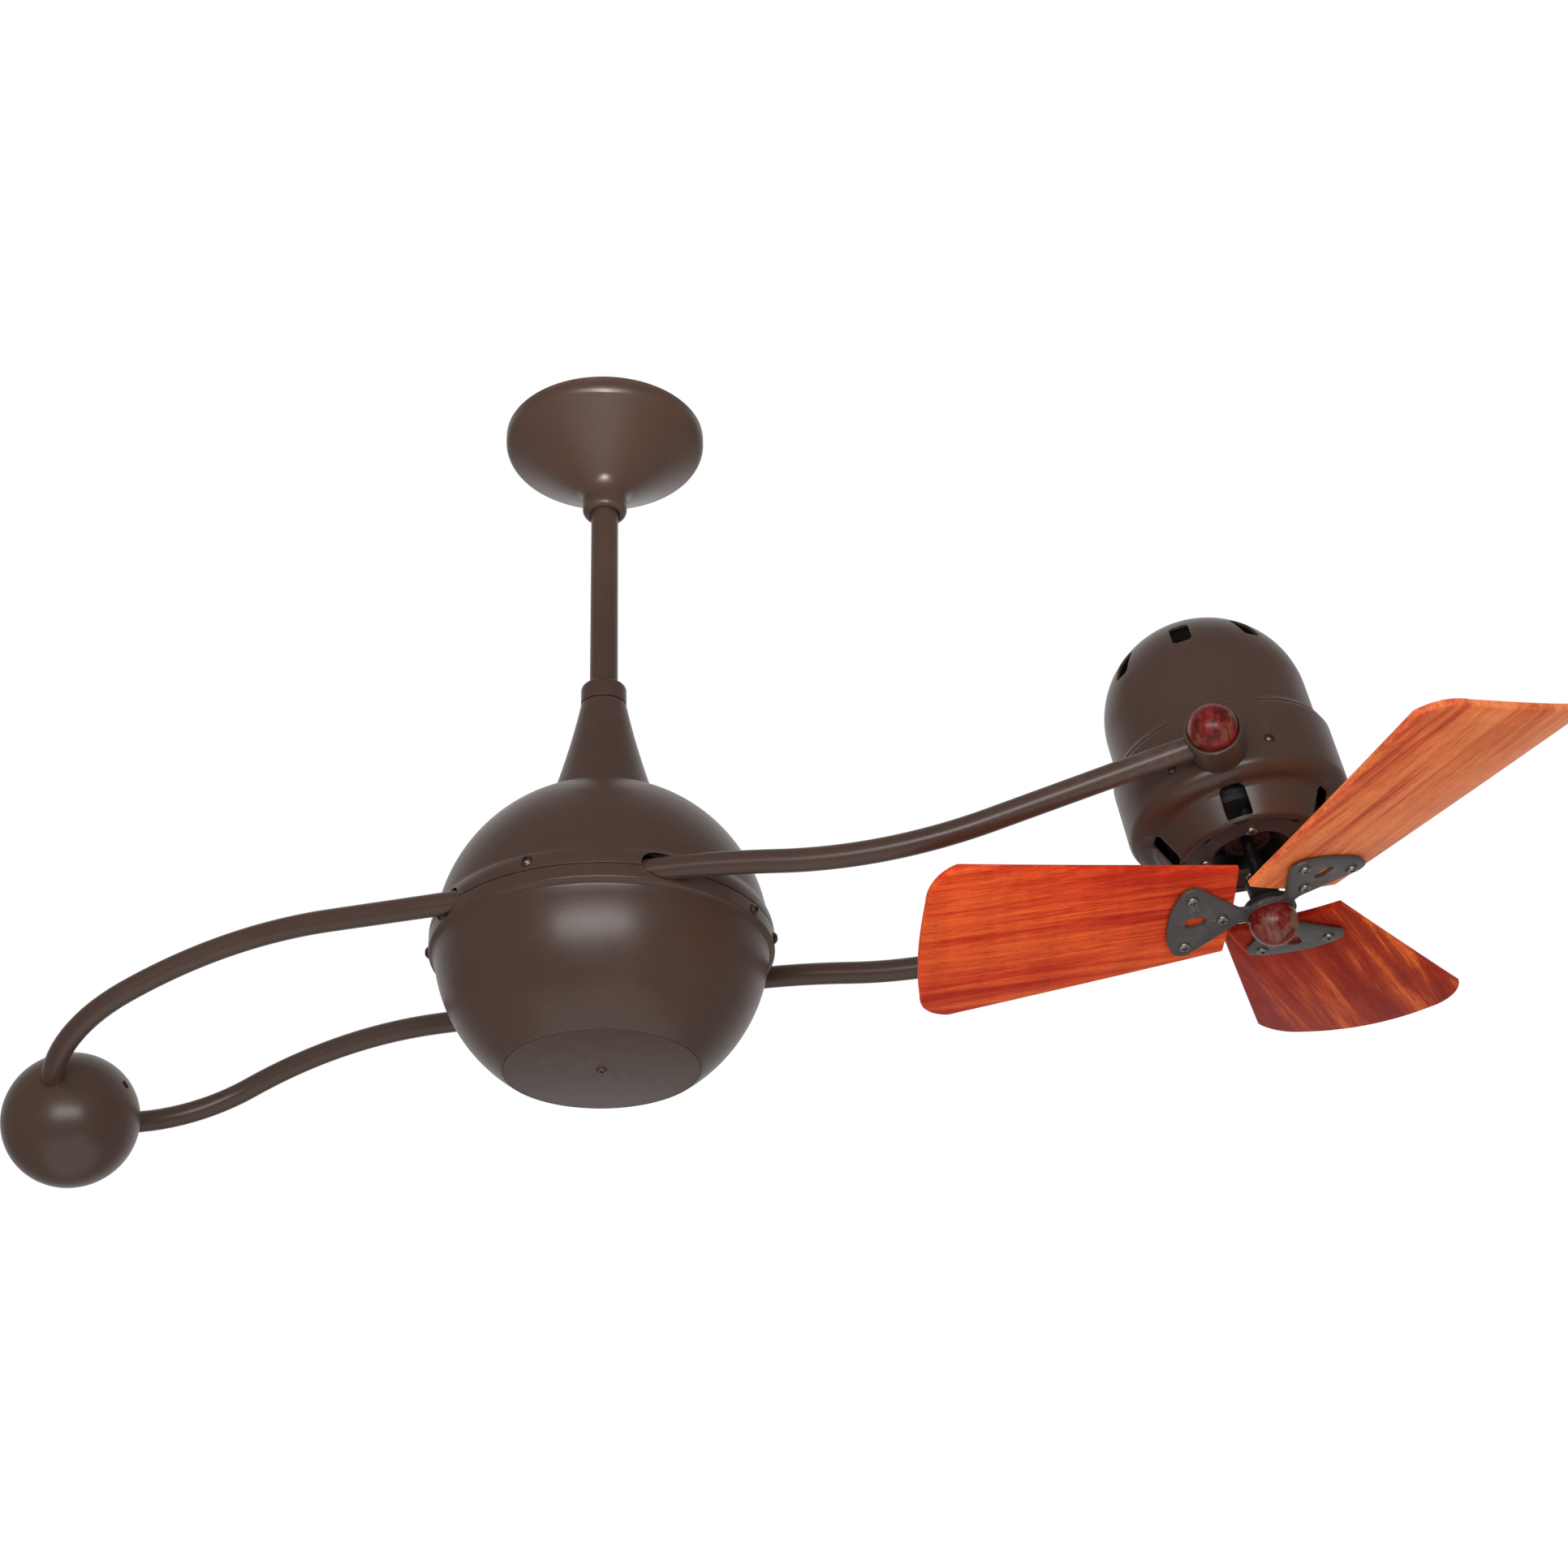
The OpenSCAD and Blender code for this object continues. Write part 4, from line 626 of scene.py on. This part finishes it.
CONE_TOP = 178.6
CONE_FOOT = 100.94


def cone_radius(h):
    """Radius of the flared cone at a height above the seam, in millimetres."""
    t = (CONE_TOP - h) / (CONE_TOP - CONE_FOOT)
    return 15.4 + 20.1 * (0.75 * t + 0.25 * t * t)


def make_cone():
    """Flared cone on the crown of the round body."""
    steps = 28
    side = [CONE_TOP - 0.4 + (CONE_FOOT + 0.4 - CONE_TOP) * i / steps for i in range(steps + 1)]
    inner = [CONE_FOOT - 3 + (CONE_TOP - 24 - CONE_FOOT) * i / steps for i in range(steps + 1)]
    outline = ([(12.7, CONE_TOP), (15.0, CONE_TOP)] + [(cone_radius(h), h) for h in side]
               + [(32.8, CONE_FOOT + 1.1), (32.8, CONE_FOOT - 3.5)]
               + [(min(cone_radius(h), 32.8) - 2, h) for h in inner] + [(12.7, CONE_TOP - 20)])
    finished("flared_cone", spun(outline, 160), SEAM, "carriage", "bronze_paint",
             ["cone"])


ARM_Y = 83.0                            # centre lines of the tubes, to each side


def band_seats(turns, r, h, lean=0.0):
    """Frames of band screws, with +Z outwards."""
    return [turned(a, "Z") @ moved(r, 0, h) @ turned(90 - lean, "Y") for a in turns]


UPPER_SEATS = band_seats((-94, 86), 109.43, 6.6, 14.16)
LOWER_SEATS = band_seats((-11, 11, 160, -160), 110, -5)


def shell_cutters(seats):
    """Bars that cut the tube holes and the screw holes out of a shell."""
    tubes = [placed(bar(9.3, 240, 64), moved(-120, s * ARM_Y, 1.5) @ turned(90, "Y"))
             for s in (-1, 1)]
    holes = [placed(bar(1.6, 14, 20), seat @ moved(0, 0, -12)) for seat in seats]
    return joined(tubes + holes)


def make_shells(sizes):
    """Upper and lower shell of the round body, and the flat cap under it."""
    r, band = sizes.body_r / MM, sizes.band_r / MM
    wall = 1.5
    swell = 18.8                        # bulge of the upper band's face
    low = math.degrees(math.asin(13.4 / r))
    high = math.degrees(math.acos(33.2 / r))
    upper = (rounded([(band - wall, 0.25, 0), (band, 0.25, 0.35), (band, 2.0, 0)], 4)[1:]
             + arc(band - swell, 2, swell, 3, 35.5, 8)
             + arc(0, 0, r, low + 0.35, high, 60)
             + arc(0, 0, r - wall, high, low, 40)
             + [(band - 3, 8), (band - wall, 3)])
    finished("shell_upper", cut(spun(upper, 256), shell_cutters(UPPER_SEATS)), SEAM,
             "carriage", "bronze_paint", ["upper_shell"], 25)
    fillet = rounded([(band - wall, -0.25, 0), (band, -0.25, 0.35), (band, -9.3, 2.0),
                      (106.9, -11.2, 4.5), (r * math.cos(math.radians(9)),
                                            -r * math.sin(math.radians(9)), 0)], 7)[1:-1]
    flat = math.degrees(math.asin(87 / r))
    lower = (fillet + arc(0, 0, r, -9, -flat + 0.4, 60)
             + [(61.8, -87.0), (61.2, -86.6), (61.2, -84.8)]
             + arc(0, 0, r - wall, -53.5, -8, 40)
             + [(band - wall, -8)])
    finished("shell_lower", cut(spun(lower, 256), shell_cutters(LOWER_SEATS)), SEAM,
             "carriage", "bronze_paint", ["lower_shell"], 25)
    cap = cut(spun(rounded([(0, -87, 0), (61.1, -87, 0.2), (61.1, -85, 0.3), (0, -85, 0)], 4,
                           closed=False), 160),
              placed(bar(2.1, 8, 24), moved(0, 0, -90)))
    finished("bottom_disc", cap, SEAM, "carriage", "bronze_paint", ["bottom_cap"])


# ---------------------------------------------------------------- screws

def button_screw(head_r, head_h, shank_r, shank_l):
    """A button-head screw along -Z with a socket in its head."""
    ball = (head_r ** 2 + head_h ** 2) / (2 * head_h)
    lean = math.degrees(math.asin(head_r / ball))
    crown = arc(0, head_h - ball, ball, 90, 90 - lean * 0.93, 7)
    shape = spun(crown + [(head_r, 0.25), (head_r - 0.15, 0), (shank_r, 0),
                          (shank_r, -shank_l), (0, -shank_l)], 32)
    return cut(shape, placed(bar(head_r * 0.46, head_h, 6), moved(0, 0, head_h * 0.4)))


def cross_screw(head_r, head_h, shank_r, shank_l):
    """A pan-head screw along -Z with a cross recess."""
    head = rounded([(0, head_h, 0), (head_r, head_h * 0.9, head_h * 0.7), (head_r, 0, 0.15),
                    (shank_r, 0, 0)], 5, closed=False)
    shape = spun(head + [(shank_r, -shank_l), (0, -shank_l)], 28)
    arms = joined([placed(slot_bar(head_r * 0.30, head_r * 1.25, head_r * 0.12, head_h),
                          turned(a, "Z") @ moved(0, 0, head_h * 0.35)) for a in (0, 90)])
    return cut(shape, arms)


def screws_at(name, places, make, body, nodes, metal="screw_metal"):
    """Copies of one screw at several places, as one piece."""
    shapes = [placed(make(), place) for place in places]
    return finished(name, joined(shapes), Matrix(), body, metal, nodes)


def make_body_screws():
    """Screws of the round body: the bands' and the bottom cap's."""
    screws_at("band_button_screws", [SEAM @ seat for seat in UPPER_SEATS + LOWER_SEATS],
              lambda: button_screw(4, 2.6, 1.5, 7), "carriage", ["band_screws"],
              "bronze_screw")
    screws_at("cap_pan_screw", [SEAM @ moved(0, 0, -87) @ turned(180, "X")],
              lambda: cross_screw(3.4, 1.6, 2, 8), "carriage", ["cap_screw"], "bronze_paint")


# ---------------------------------------------------------------- arms

def stretch(shape, ring, place, r, bends):
    """Carries a ring of edges along straights and bends; returns its last edges and frame."""
    edges = ring
    for kind, a, b, roll in bends:
        if kind == "straight":
            made = bmesh.ops.extrude_edge_only(shape, edges=edges)["geom"]
            verts = [g for g in made if isinstance(g, bmesh.types.BMVert)]
            bmesh.ops.translate(shape, verts=verts, vec=place.to_3x3() @ Vector((a, 0, 0)))
            edges = [g for g in made if isinstance(g, bmesh.types.BMEdge)
                     and all(v in set(verts) for v in g.verts)]
            place = place @ Matrix.Translation((a, 0, 0))
            continue
        bend = place @ turned(roll, "X")
        centre = bend @ Vector((0, 0, a))
        axis = bend.to_3x3() @ Vector((0, -1, 0))
        verts = list({v for e in edges for v in e.verts})
        made = bmesh.ops.spin(
            shape, geom=verts + edges, cent=centre, axis=axis, dvec=(0, 0, 0),
            angle=math.radians(b), steps=max(2, round(b * a / 400)), use_merge=False,
            use_duplicate=False)["geom_last"]
        edges = [g for g in made if isinstance(g, bmesh.types.BMEdge)]
        place = (bend @ Matrix.Translation((a * math.sin(math.radians(b)), 0,
                                            a * (1 - math.cos(math.radians(b)))))
                 @ turned(-b, "Y") @ turned(-roll, "X"))
    return edges, place


def arm_tube(name, side, r, nodes):
    """One arm tube, from the ball round to its pivot cup."""
    halves = []
    for way in (1, -1):
        shape = bmesh.new()
        start = Matrix.Translation((0, -ARM_Y, 1))
        bmesh.ops.create_circle(shape, cap_ends=False, segments=40, radius=r,
                                matrix=start @ turned(90, "Y"))
        if way > 0:
            path = [("straight", 24, 0, 0), ("bend", 600, 0.6, -90), ("bend", 700, 9.1, 180),
                    ("bend", 360, 21, 0), ("straight", 121.8, 0, 0)]
        else:
            path = [("straight", 24, 0, 0), ("bend", 800, 1.9, 0), ("straight", 100, 0, 0),
                    ("bend", 341, 24.2, 180), ("bend", 98, 75, -90)]
        edges, _ = stretch(shape, list(shape.edges), start, r, path)
        bmesh.ops.contextual_create(shape, geom=edges)
        if way < 0:
            bmesh.ops.scale(shape, verts=shape.verts, vec=(-1, 1, 1))
        halves.append(shape)
    tube = joined(halves)
    if side > 0:
        bmesh.ops.scale(tube, verts=tube.verts, vec=(1, -1, 1))
    return finished(name, tube, SEAM, "carriage", "bronze_paint", nodes)


BALL_PLACE = (-375.55, 0.0, -63.17)


def make_arms(sizes):
    """The two arm tubes and the counterweight ball that joins their ends."""
    r = sizes.tube_r / MM
    arm_tube("arm_front", -1, r, ["front_tube"])
    arm_tube("arm_rear", 1, r, ["rear_tube"])
    ball = spun(arc(0, 0, sizes.ball_r / MM, 90, -90, 72), 144)
    hole = placed(bar(3.1, 30, 32), turned(-5, "Z") @ turned(67, "Y")
                  @ moved(0, 0, sizes.ball_r / MM - 14))
    finished("counterweight", cut(ball, hole), SEAM @ moved(*BALL_PLACE), "carriage",
             "bronze_paint", ["counterweight_ball"])


# ---------------------------------------------------------------- tilt joint

PIVOT_IN, PIVOT_OUT = 70.5, 90.03


def tilt_side(side):
    """Frame on the tilt axis whose +Z points outwards on one side."""
    return moved(*PIVOT) @ turned(-90 * side, "X")


def make_pivots():
    """Pivot cups on the tube ends, and the wooden balls that close them."""
    cup = rounded([(4.05, PIVOT_IN, 0), (16.9, PIVOT_IN, 0.6), (16.9, PIVOT_OUT, 0.9),
                   (14.8, PIVOT_OUT, 0.5), (14.8, PIVOT_OUT - 14.9, 0),
                   (6.6, PIVOT_OUT - 14.9, 0), (6.6, PIVOT_OUT - 17.4, 0),
                   (4.05, PIVOT_OUT - 17.4, 0)], 5)
    finished("pivot_cups_pair", joined([placed(spun(cup, 96), tilt_side(s)) for s in (-1, 1)]),
             Matrix(), "carriage", "bronze_paint", ["pivot_cups"])
    balls = [placed(spun(arc(0, 0, 14.5, 90, -90, 40), 80),
                    tilt_side(s) @ moved(0, 0, PIVOT_OUT + 0.2)) for s in (-1, 1)]
    finished("burl_caps", joined(balls), Matrix(), "carriage", "burl_front",
             ["ball_caps"])
    dress(["friction_washers"], "washer_black")
    dress(["tilt_bolts"], "turned_steel")


# ---------------------------------------------------------------- fan head

def head_cutters(vents):
    """Tilt-bolt holes and screw holes of the housing, with its vents."""
    bolts = [placed(bar(4.3, 90, 32), turned(-90 * s, "X")) for s in (-1, 1)]
    holes = [placed(bar(1.9, 90, 20), turned(s + a, "Z") @ turned(90, "Y"))
             for s in (-90, 90) for a in (-26, 26)]
    return joined(vents + bolts + holes)


def make_head(sizes):
    """Dome cover and motor cup of the fan head, both vented."""
    r, cup = sizes.dome_r / MM, sizes.cup_r / MM
    wall, top = 1.5, 28.5
    foot = top + 0.5
    dome = (arc(0, 61.6, r, 90, 0, 44) + arc(r + 7, foot + 7, 7, 180, 240, 8)
            + [(cup - 1.6, foot), (cup - 1.8, foot), (cup - 1.8, -8), (cup - 3.3, -8),
               (cup - 3.3, foot), (r - wall, foot + 6)]
            + arc(0, 61.6, r - wall, 0, 90, 30))
    slots = [placed(slot_bar(12, 21, 3.5, 24), moved(0, 0, 61.6) @ turned(45 * k - 90, "Z")
                    @ turned(60, "Y") @ moved(0, 0, 50.5) @ turned(90, "Z"))
             for k in range(8)]
    vented = cut(spun(dome, 192), head_cutters(slots))
    finished("dome_shell", vented, HEAD, "head", "bronze_paint", ["dome_cover"], 28)
    low = -38.0
    outer = (arc(cup - 3, top - 3, 3, 60, 0, 6) + arc(cup - 9, -10, 9, 0, -82, 12)
             + arc(57.5, -24, 5, 98, 165, 9) + arc(43, low + 3, 3, -15, -90, 7)
             + [(41, low), (41, low + wall), (43, low + wall)]
             + arc(43, low + 3, 1.5, -90, -15, 4) + arc(57.5, -24, 6.5, 165, 98, 9)
             + arc(cup - 9, -10, 7.5, -82, 0, 10) + [(cup - wall, top - 4)])
    gaps = [placed(slot_bar(15.5, 19.6, 4, 25), moved(0, 0, -28.2) @ turned(72 * k - 90, "Z")
                   @ moved(38, 0, 0) @ turned(90, "Y") @ turned(90, "Z"))
            for k in range(5)]
    vented = cut(spun(outer, 192), head_cutters(gaps))
    finished("motor_cup_shell", vented, HEAD, "head", "bronze_paint", ["motor_cup"], 28)
    places = [HEAD @ turned(s + a, "Z") @ moved(cup, 0, 0) @ turned(90, "Y")
              for s in (-90, 90) for a in (-26, 26)]
    screws_at("head_button_screws", places, lambda: button_screw(3.3, 2, 1.8, 8), "head",
              ["head_screws"], "bronze_screw")


PLATE_LOW = -36.4


def make_motor(sizes):
    """End plate with its screws, and the motor behind it."""
    outline = rounded([(23.5, PLATE_LOW, 0.5), (42.7, PLATE_LOW, 0.6), (42.7, PLATE_LOW + 2.5, 0),
                       (23.5, PLATE_LOW + 2.5, 0)], 4)
    holes = [placed(bar(2.1, 8, 20), turned(90 * k - 82, "Z") @ moved(27.5, 0, PLATE_LOW - 3))
             for k in range(4)]
    slots = [placed(slot_bar(2.4, 6, 1.1, 8), turned(90 * k - 37, "Z")
                    @ moved(37.2, 0, PLATE_LOW - 3)) for k in range(4)]
    finished("end_plate_ring", cut(spun(outline, 128), joined(holes + slots)), HEAD, "head",
             "plate_grey", ["end_plate"])
    places = [HEAD @ turned(90 * k - 82, "Z") @ moved(27.5, 0, PLATE_LOW) @ turned(180, "X")
              for k in range(4)]
    screws_at("end_plate_screws", places, lambda: cross_screw(3.4, 2.2, 2, 8), "head",
              ["end_screws"])
    dress(["lower_bell", "upper_bell"], "motor_black")
    dress(["pivot_brackets"], "zinc_steel")
    # Painted shade: the motor's inner parts are made near black so that the opening behind the end
    # plate reads as shade.
    dress(["stator", "rotor"], "laminations_painted_shade_black")
    dress(["windings"], "windings_painted_shade_black")
    dress(["motor_bolts", "rotor_bearings", "motor_shaft"], "motor_steel_painted_shade_dark")


# ---------------------------------------------------------------- fan rotor

def blade_outline(reach):
    """Outline of a blade, root to tip, with rounded tip corners and a bowed tip."""
    half_root, half_tip, corner, bow = 37.0, 67.5, 25.0, 8.0
    c = half_tip - corner

    def tip(y):
        return reach - bow * (y / half_tip) ** 2

    x0 = tip(c) - corner
    points = [(22.7, half_root), (22.7, -half_root)]
    points += arc(x0, -c, corner, -75, 0, 12)
    points += [(tip(c * i / 8), c * i / 8) for i in range(-7, 8)]
    points += arc(x0, c, corner, 0, 75, 12)
    return points


CAMBER_R = 326.0                        # curve of a blade across its width


def cambered(shape):
    """Bends a flat blade across its width, so that its long edges curve up."""
    for i in range(-15, 16):
        bmesh.ops.bisect_plane(
            shape, geom=shape.verts[:] + shape.edges[:] + shape.faces[:], dist=0.0001,
            plane_co=(0, i * 4.2, 0), plane_no=(0, 1, 0))
    for v in shape.verts:
        v.co.z += CAMBER_R - math.sqrt(CAMBER_R ** 2 - v.co.y ** 2)
    return shape


IRON_HOLES = ((29.5, 0.0), (50.0, 20.5), (50.0, -20.5))


def make_blades(sizes):
    """Three hardwood blades with rounded edges."""
    for k in range(3):
        shape = cambered(plate(blade_outline(sizes.blade_length / MM), 0, sizes.blade_t / MM,
                               1.5, 4))
        holes = [placed(bar(2.1, 20, 20), moved(x, y, -8)) for x, y in IRON_HOLES]
        finished(f"wood_blade_{k + 1}", cut(shape, joined(holes)), blade_frame(k), "fan",
                 f"blade_wood_{k + 1}", [f"blade_{k + 1}"])


def iron_outline():
    """Outline of a blade iron: a neck that widens in straight sides to a bowed outer edge."""
    neck = [(10.6, 6.5), (10.6, -6.5), (18.6, -6.5), (20.4, -7.4)]
    corner = arc(50, -22, 8, -115, -10, 10)
    edge = arc(-7.5, 0, 70, -16.3, 16.3, 12)
    return (neck + corner + edge + [(x, -y) for x, y in reversed(corner)]
            + [(20.4, 7.4), (18.6, 6.5)])


def make_irons(sizes):
    """Blade irons with their screws, on the hub between the two cups."""
    plates = []
    for k in range(3):
        flat = plate(iron_outline(), -2.5, -0.05, 0.7, 3)
        tools = [placed(bar(2.1, 20, 20), moved(x, y, -12)) for x, y in IRON_HOLES]
        tools.append(placed(slot_bar(13, 9, 4.4, 20), moved(46, 0, -12)))
        plates.append(placed(cut(flat, joined(tools)), blade_frame(k)))
    foot = -BLADE_DEPTH - 2.5
    hub = rounded([(13.2, foot - 0.05, 0), (15.6, foot - 0.05, 0.3), (15.6, foot + 2.5, 0.3),
                   (11.7, foot + 2.5, 0)], 4)
    plates.append(placed(spun(hub, 96), HEAD))
    finished("blade_iron_set", joined(plates), Matrix(), "fan", "iron_paint",
             ["blade_irons"])
    places = [blade_frame(k) @ moved(x, y, -2.5) @ turned(180, "X")
              for k in range(3) for x, y in IRON_HOLES]
    screws_at("blade_cross_screws", places, lambda: cross_screw(3.6, 2, 2, 7), "fan",
              ["blade_screws"])


FINIAL_Z = -84.2                        # centre of the wooden ball under the hub


def make_hub():
    """Hub, the cup under it and the wooden ball that closes it."""
    hub = arc(0, FINIAL_Z, 14.6, 73.7, 37.6, 8)[:-1] + rounded(
        [(11.57, -75.3, 0), (14.5, -75.3, 0.4), (14.5, -71.4, 1.2), (10, -69.0, 2),
         (9, -66.0, 0.6), (9, -55.4, 0.5), (4.1, -55.4, 0)], 5, closed=False)
    finished("hub_neck", cut(spun(hub, 96), placed(bar(2, 20, 20), moved(0, 0, -61.4)
                                                   @ turned(90, "X"))),
             HEAD, "fan", "motor_black", ["blade_hub"])
    cup = rounded([(13.3, -78.0, 0), (14.5, -78.0, 0), (14.5, -79.2, 0.35),
                   (13.75, -79.2, 0)], 4)
    finished("finial_seat", spun(cup, 96), HEAD, "fan", "bronze_paint", ["finial_cup"])
    finished("burl_finial_ball", spun(arc(0, 0, 14.4, 90, -90, 40), 80),
             HEAD @ moved(0, 0, FINIAL_Z), "fan", "burl_finial", ["finial"])


# ---------------------------------------------------------------- pieces that stay inside

INSIDE = {
    "zinc_steel": ["ceiling_bracket", "hanger_bolt", "hanger_nut", "cap_bar"],
    "turned_steel": ["spindle", "spindle_pin", "spindle_nut", "clamp_screws", "bridge_posts",
                     "bridge_screws", "body_bearings"],
    "gear_brass": ["sun_gear", "pinion"],
    "copper_wire": ["slip_ring"],
    "moulded_nylon": ["cone_bush"],
    "cast_alloy": ["carrier", "tube_clamps", "bearing_bridge"],
    "moulded_black": ["gearmotor", "brush_block"],
}


# ---------------------------------------------------------------- stage

def area_lamp(name, place, aim, power, size, spread=180):
    """A soft rectangular lamp that looks at a point."""
    lamp = bpy.data.lights.new(name, "AREA")
    lamp.energy, lamp.shape, lamp.spread = power, "RECTANGLE", math.radians(spread)
    lamp.size, lamp.size_y = size
    thing = bpy.data.objects.new(name, lamp)
    thing.location = place
    thing.rotation_euler = (Vector(aim) - Vector(place)).to_track_quat("-Z", "Y").to_euler()
    bpy.context.scene.collection.objects.link(thing)


def make_stage():
    """Camera at the photograph's angle, pale floor, white surround and soft lamps."""
    tone = bpy.data.materials.new("pale_floor")
    tone.use_nodes = True
    tone.node_tree.nodes["Principled BSDF"].inputs["Base Color"].default_value = (0.8, 0.8, 0.8, 1)
    tone.node_tree.nodes["Principled BSDF"].inputs["Roughness"].default_value = 0.9
    ground = bmesh.new()
    bmesh.ops.create_grid(ground, x_segments=1, y_segments=1, size=1.4)
    bmesh.ops.translate(ground, verts=ground.verts, vec=(0, 0, -2.3))
    mesh = bpy.data.meshes.new("floor")
    ground.to_mesh(mesh)
    ground.free()
    floor = bpy.data.objects.new("floor", mesh)
    mesh.materials.append(tone)
    bpy.context.scene.collection.objects.link(floor)

    world = bpy.data.worlds.new("studio")
    world.use_nodes = True
    sky = world.node_tree.nodes["Background"]
    sky.inputs["Color"].default_value = (1, 1, 1, 1)
    seen = world.node_tree.nodes.new("ShaderNodeLightPath")
    way = add(world.node_tree, "TexCoord").outputs["Generated"]
    ahead = add(world.node_tree, "VectorMath", {1: (-0.24, 0.83, 0.50)}, operation="DOT_PRODUCT")
    world.node_tree.links.new(way, ahead.inputs[0])
    shade = add(world.node_tree, "MapRange", {"From Min": 0.45, "From Max": 1.0,
                                              "To Min": 0.18, "To Max": 0.85})
    world.node_tree.links.new(ahead.outputs["Value"], shade.inputs["Value"])
    glossy = mixed(world.node_tree, "FLOAT", seen.outputs["Is Glossy Ray"], 0.76,
                   shade.outputs["Result"])
    strength = mixed(world.node_tree, "FLOAT", seen.outputs["Is Camera Ray"], glossy, 1.0)
    world.node_tree.links.new(strength, sky.inputs["Strength"])
    bpy.context.scene.world = world
    bpy.context.scene.view_settings.view_transform = "Standard"

    area_lamp("key_lamp", (0.40, -1.5, -0.72), (0, 0, -0.42), 11, (1.4, 0.35))
    area_lamp("canopy_lamp", (0.40, -1.10, -0.95), (0.01, -0.03, -0.02), 0.07, (0.12, 0.16), 11)

    lens = bpy.data.cameras.new("photo_camera")
    lens.lens, lens.sensor_width, lens.sensor_fit = 54.19, 36, "HORIZONTAL"
    lens.clip_start, lens.clip_end = 0.01, 100
    camera = bpy.data.objects.new("photo_camera", lens)
    ahead = Vector((-0.2363, 0.8316, 0.5026)).normalized()
    side = Vector((0.9619, 0.2733, 0)).normalized()
    up = side.cross(ahead)
    roll = math.radians(-2.25)
    right = side * math.cos(roll) + up * math.sin(roll)
    top = up * math.cos(roll) - side * math.sin(roll)
    camera.matrix_world = (Matrix.Translation((0.4849, -1.2681, -1.0802))
                           @ Matrix((right, top, -ahead)).transposed().to_4x4())
    bpy.context.scene.collection.objects.link(camera)
    bpy.context.scene.camera = camera


# ---------------------------------------------------------------- operators and panel

class FAN_OT_finishes(bpy.types.Operator):
    """Make every paint, metal and wood finish"""
    bl_idname = "fan.finishes"
    bl_label = "Finishes"

    def execute(self, context):
        make_materials(context.scene.fan_colours)
        for name, nodes in INSIDE.items():
            dress(nodes, name)
        return {"FINISHED"}


class FAN_OT_canopy(bpy.types.Operator):
    """Make the canopy and its ring nut"""
    bl_idname = "fan.canopy"
    bl_label = "Canopy"

    def execute(self, context):
        make_canopy(context.scene.fan_sizes)
        return {"FINISHED"}


class FAN_OT_rod(bpy.types.Operator):
    """Make the downrod and its collar"""
    bl_idname = "fan.rod"
    bl_label = "Downrod"

    def execute(self, context):
        make_rod(context.scene.fan_sizes)
        return {"FINISHED"}


class FAN_OT_body(bpy.types.Operator):
    """Make the round body: cone, shells, bottom disc and screws"""
    bl_idname = "fan.body"
    bl_label = "Round body"

    def execute(self, context):
        make_cone()
        make_shells(context.scene.fan_sizes)
        make_body_screws()
        return {"FINISHED"}


class FAN_OT_arms(bpy.types.Operator):
    """Make the two arm tubes and the counterweight ball"""
    bl_idname = "fan.arms"
    bl_label = "Arms"

    def execute(self, context):
        make_arms(context.scene.fan_sizes)
        return {"FINISHED"}


class FAN_OT_pivots(bpy.types.Operator):
    """Make the pivot cups and their wooden balls"""
    bl_idname = "fan.pivots"
    bl_label = "Pivots"

    def execute(self, context):
        make_pivots()
        return {"FINISHED"}


class FAN_OT_head(bpy.types.Operator):
    """Make the fan head's dome, motor cup and end plate"""
    bl_idname = "fan.head"
    bl_label = "Fan head"

    def execute(self, context):
        make_head(context.scene.fan_sizes)
        make_motor(context.scene.fan_sizes)
        return {"FINISHED"}


class FAN_OT_blades(bpy.types.Operator):
    """Make the blades, their irons, the hub and the finial"""
    bl_idname = "fan.blades"
    bl_label = "Blades"

    def execute(self, context):
        make_blades(context.scene.fan_sizes)
        make_irons(context.scene.fan_sizes)
        make_hub()
        return {"FINISHED"}


class FAN_OT_stage(bpy.types.Operator):
    """Make the floor, the surround, the lamps and the camera"""
    bl_idname = "fan.stage"
    bl_label = "Stage"

    def execute(self, context):
        make_stage()
        return {"FINISHED"}


OPERATORS = (FAN_OT_finishes, FAN_OT_canopy, FAN_OT_rod, FAN_OT_body, FAN_OT_arms,
             FAN_OT_pivots, FAN_OT_head, FAN_OT_blades, FAN_OT_stage)


class FAN_PT_panel(bpy.types.Panel):
    """Sizes, colours and making steps of the fan"""
    bl_label = "Ceiling fan"
    bl_idname = "FAN_PT_panel"
    bl_space_type = "VIEW_3D"
    bl_region_type = "UI"
    bl_category = "Fan"

    def draw(self, context):
        for group in (context.scene.fan_sizes, context.scene.fan_colours):
            for key in group.__annotations__:
                self.layout.prop(group, key)
        for kind in OPERATORS:
            self.layout.operator(kind.bl_idname)


CLASSES = (FanSizes, FanColours, *OPERATORS, FAN_PT_panel)


def register():
    for kind in CLASSES:
        bpy.utils.register_class(kind)
    bpy.types.Scene.fan_sizes = bpy.props.PointerProperty(type=FanSizes)
    bpy.types.Scene.fan_colours = bpy.props.PointerProperty(type=FanColours)


def unregister():
    del bpy.types.Scene.fan_colours
    del bpy.types.Scene.fan_sizes
    for kind in reversed(CLASSES):
        bpy.utils.unregister_class(kind)


def main():
    register()
    bpy.ops.fan.finishes()
    bpy.ops.fan.canopy()
    bpy.ops.fan.rod()
    bpy.ops.fan.body()
    bpy.ops.fan.arms()
    bpy.ops.fan.pivots()
    bpy.ops.fan.head()
    bpy.ops.fan.blades()
    bpy.ops.fan.stage()


if __name__ == "__main__":
    main()
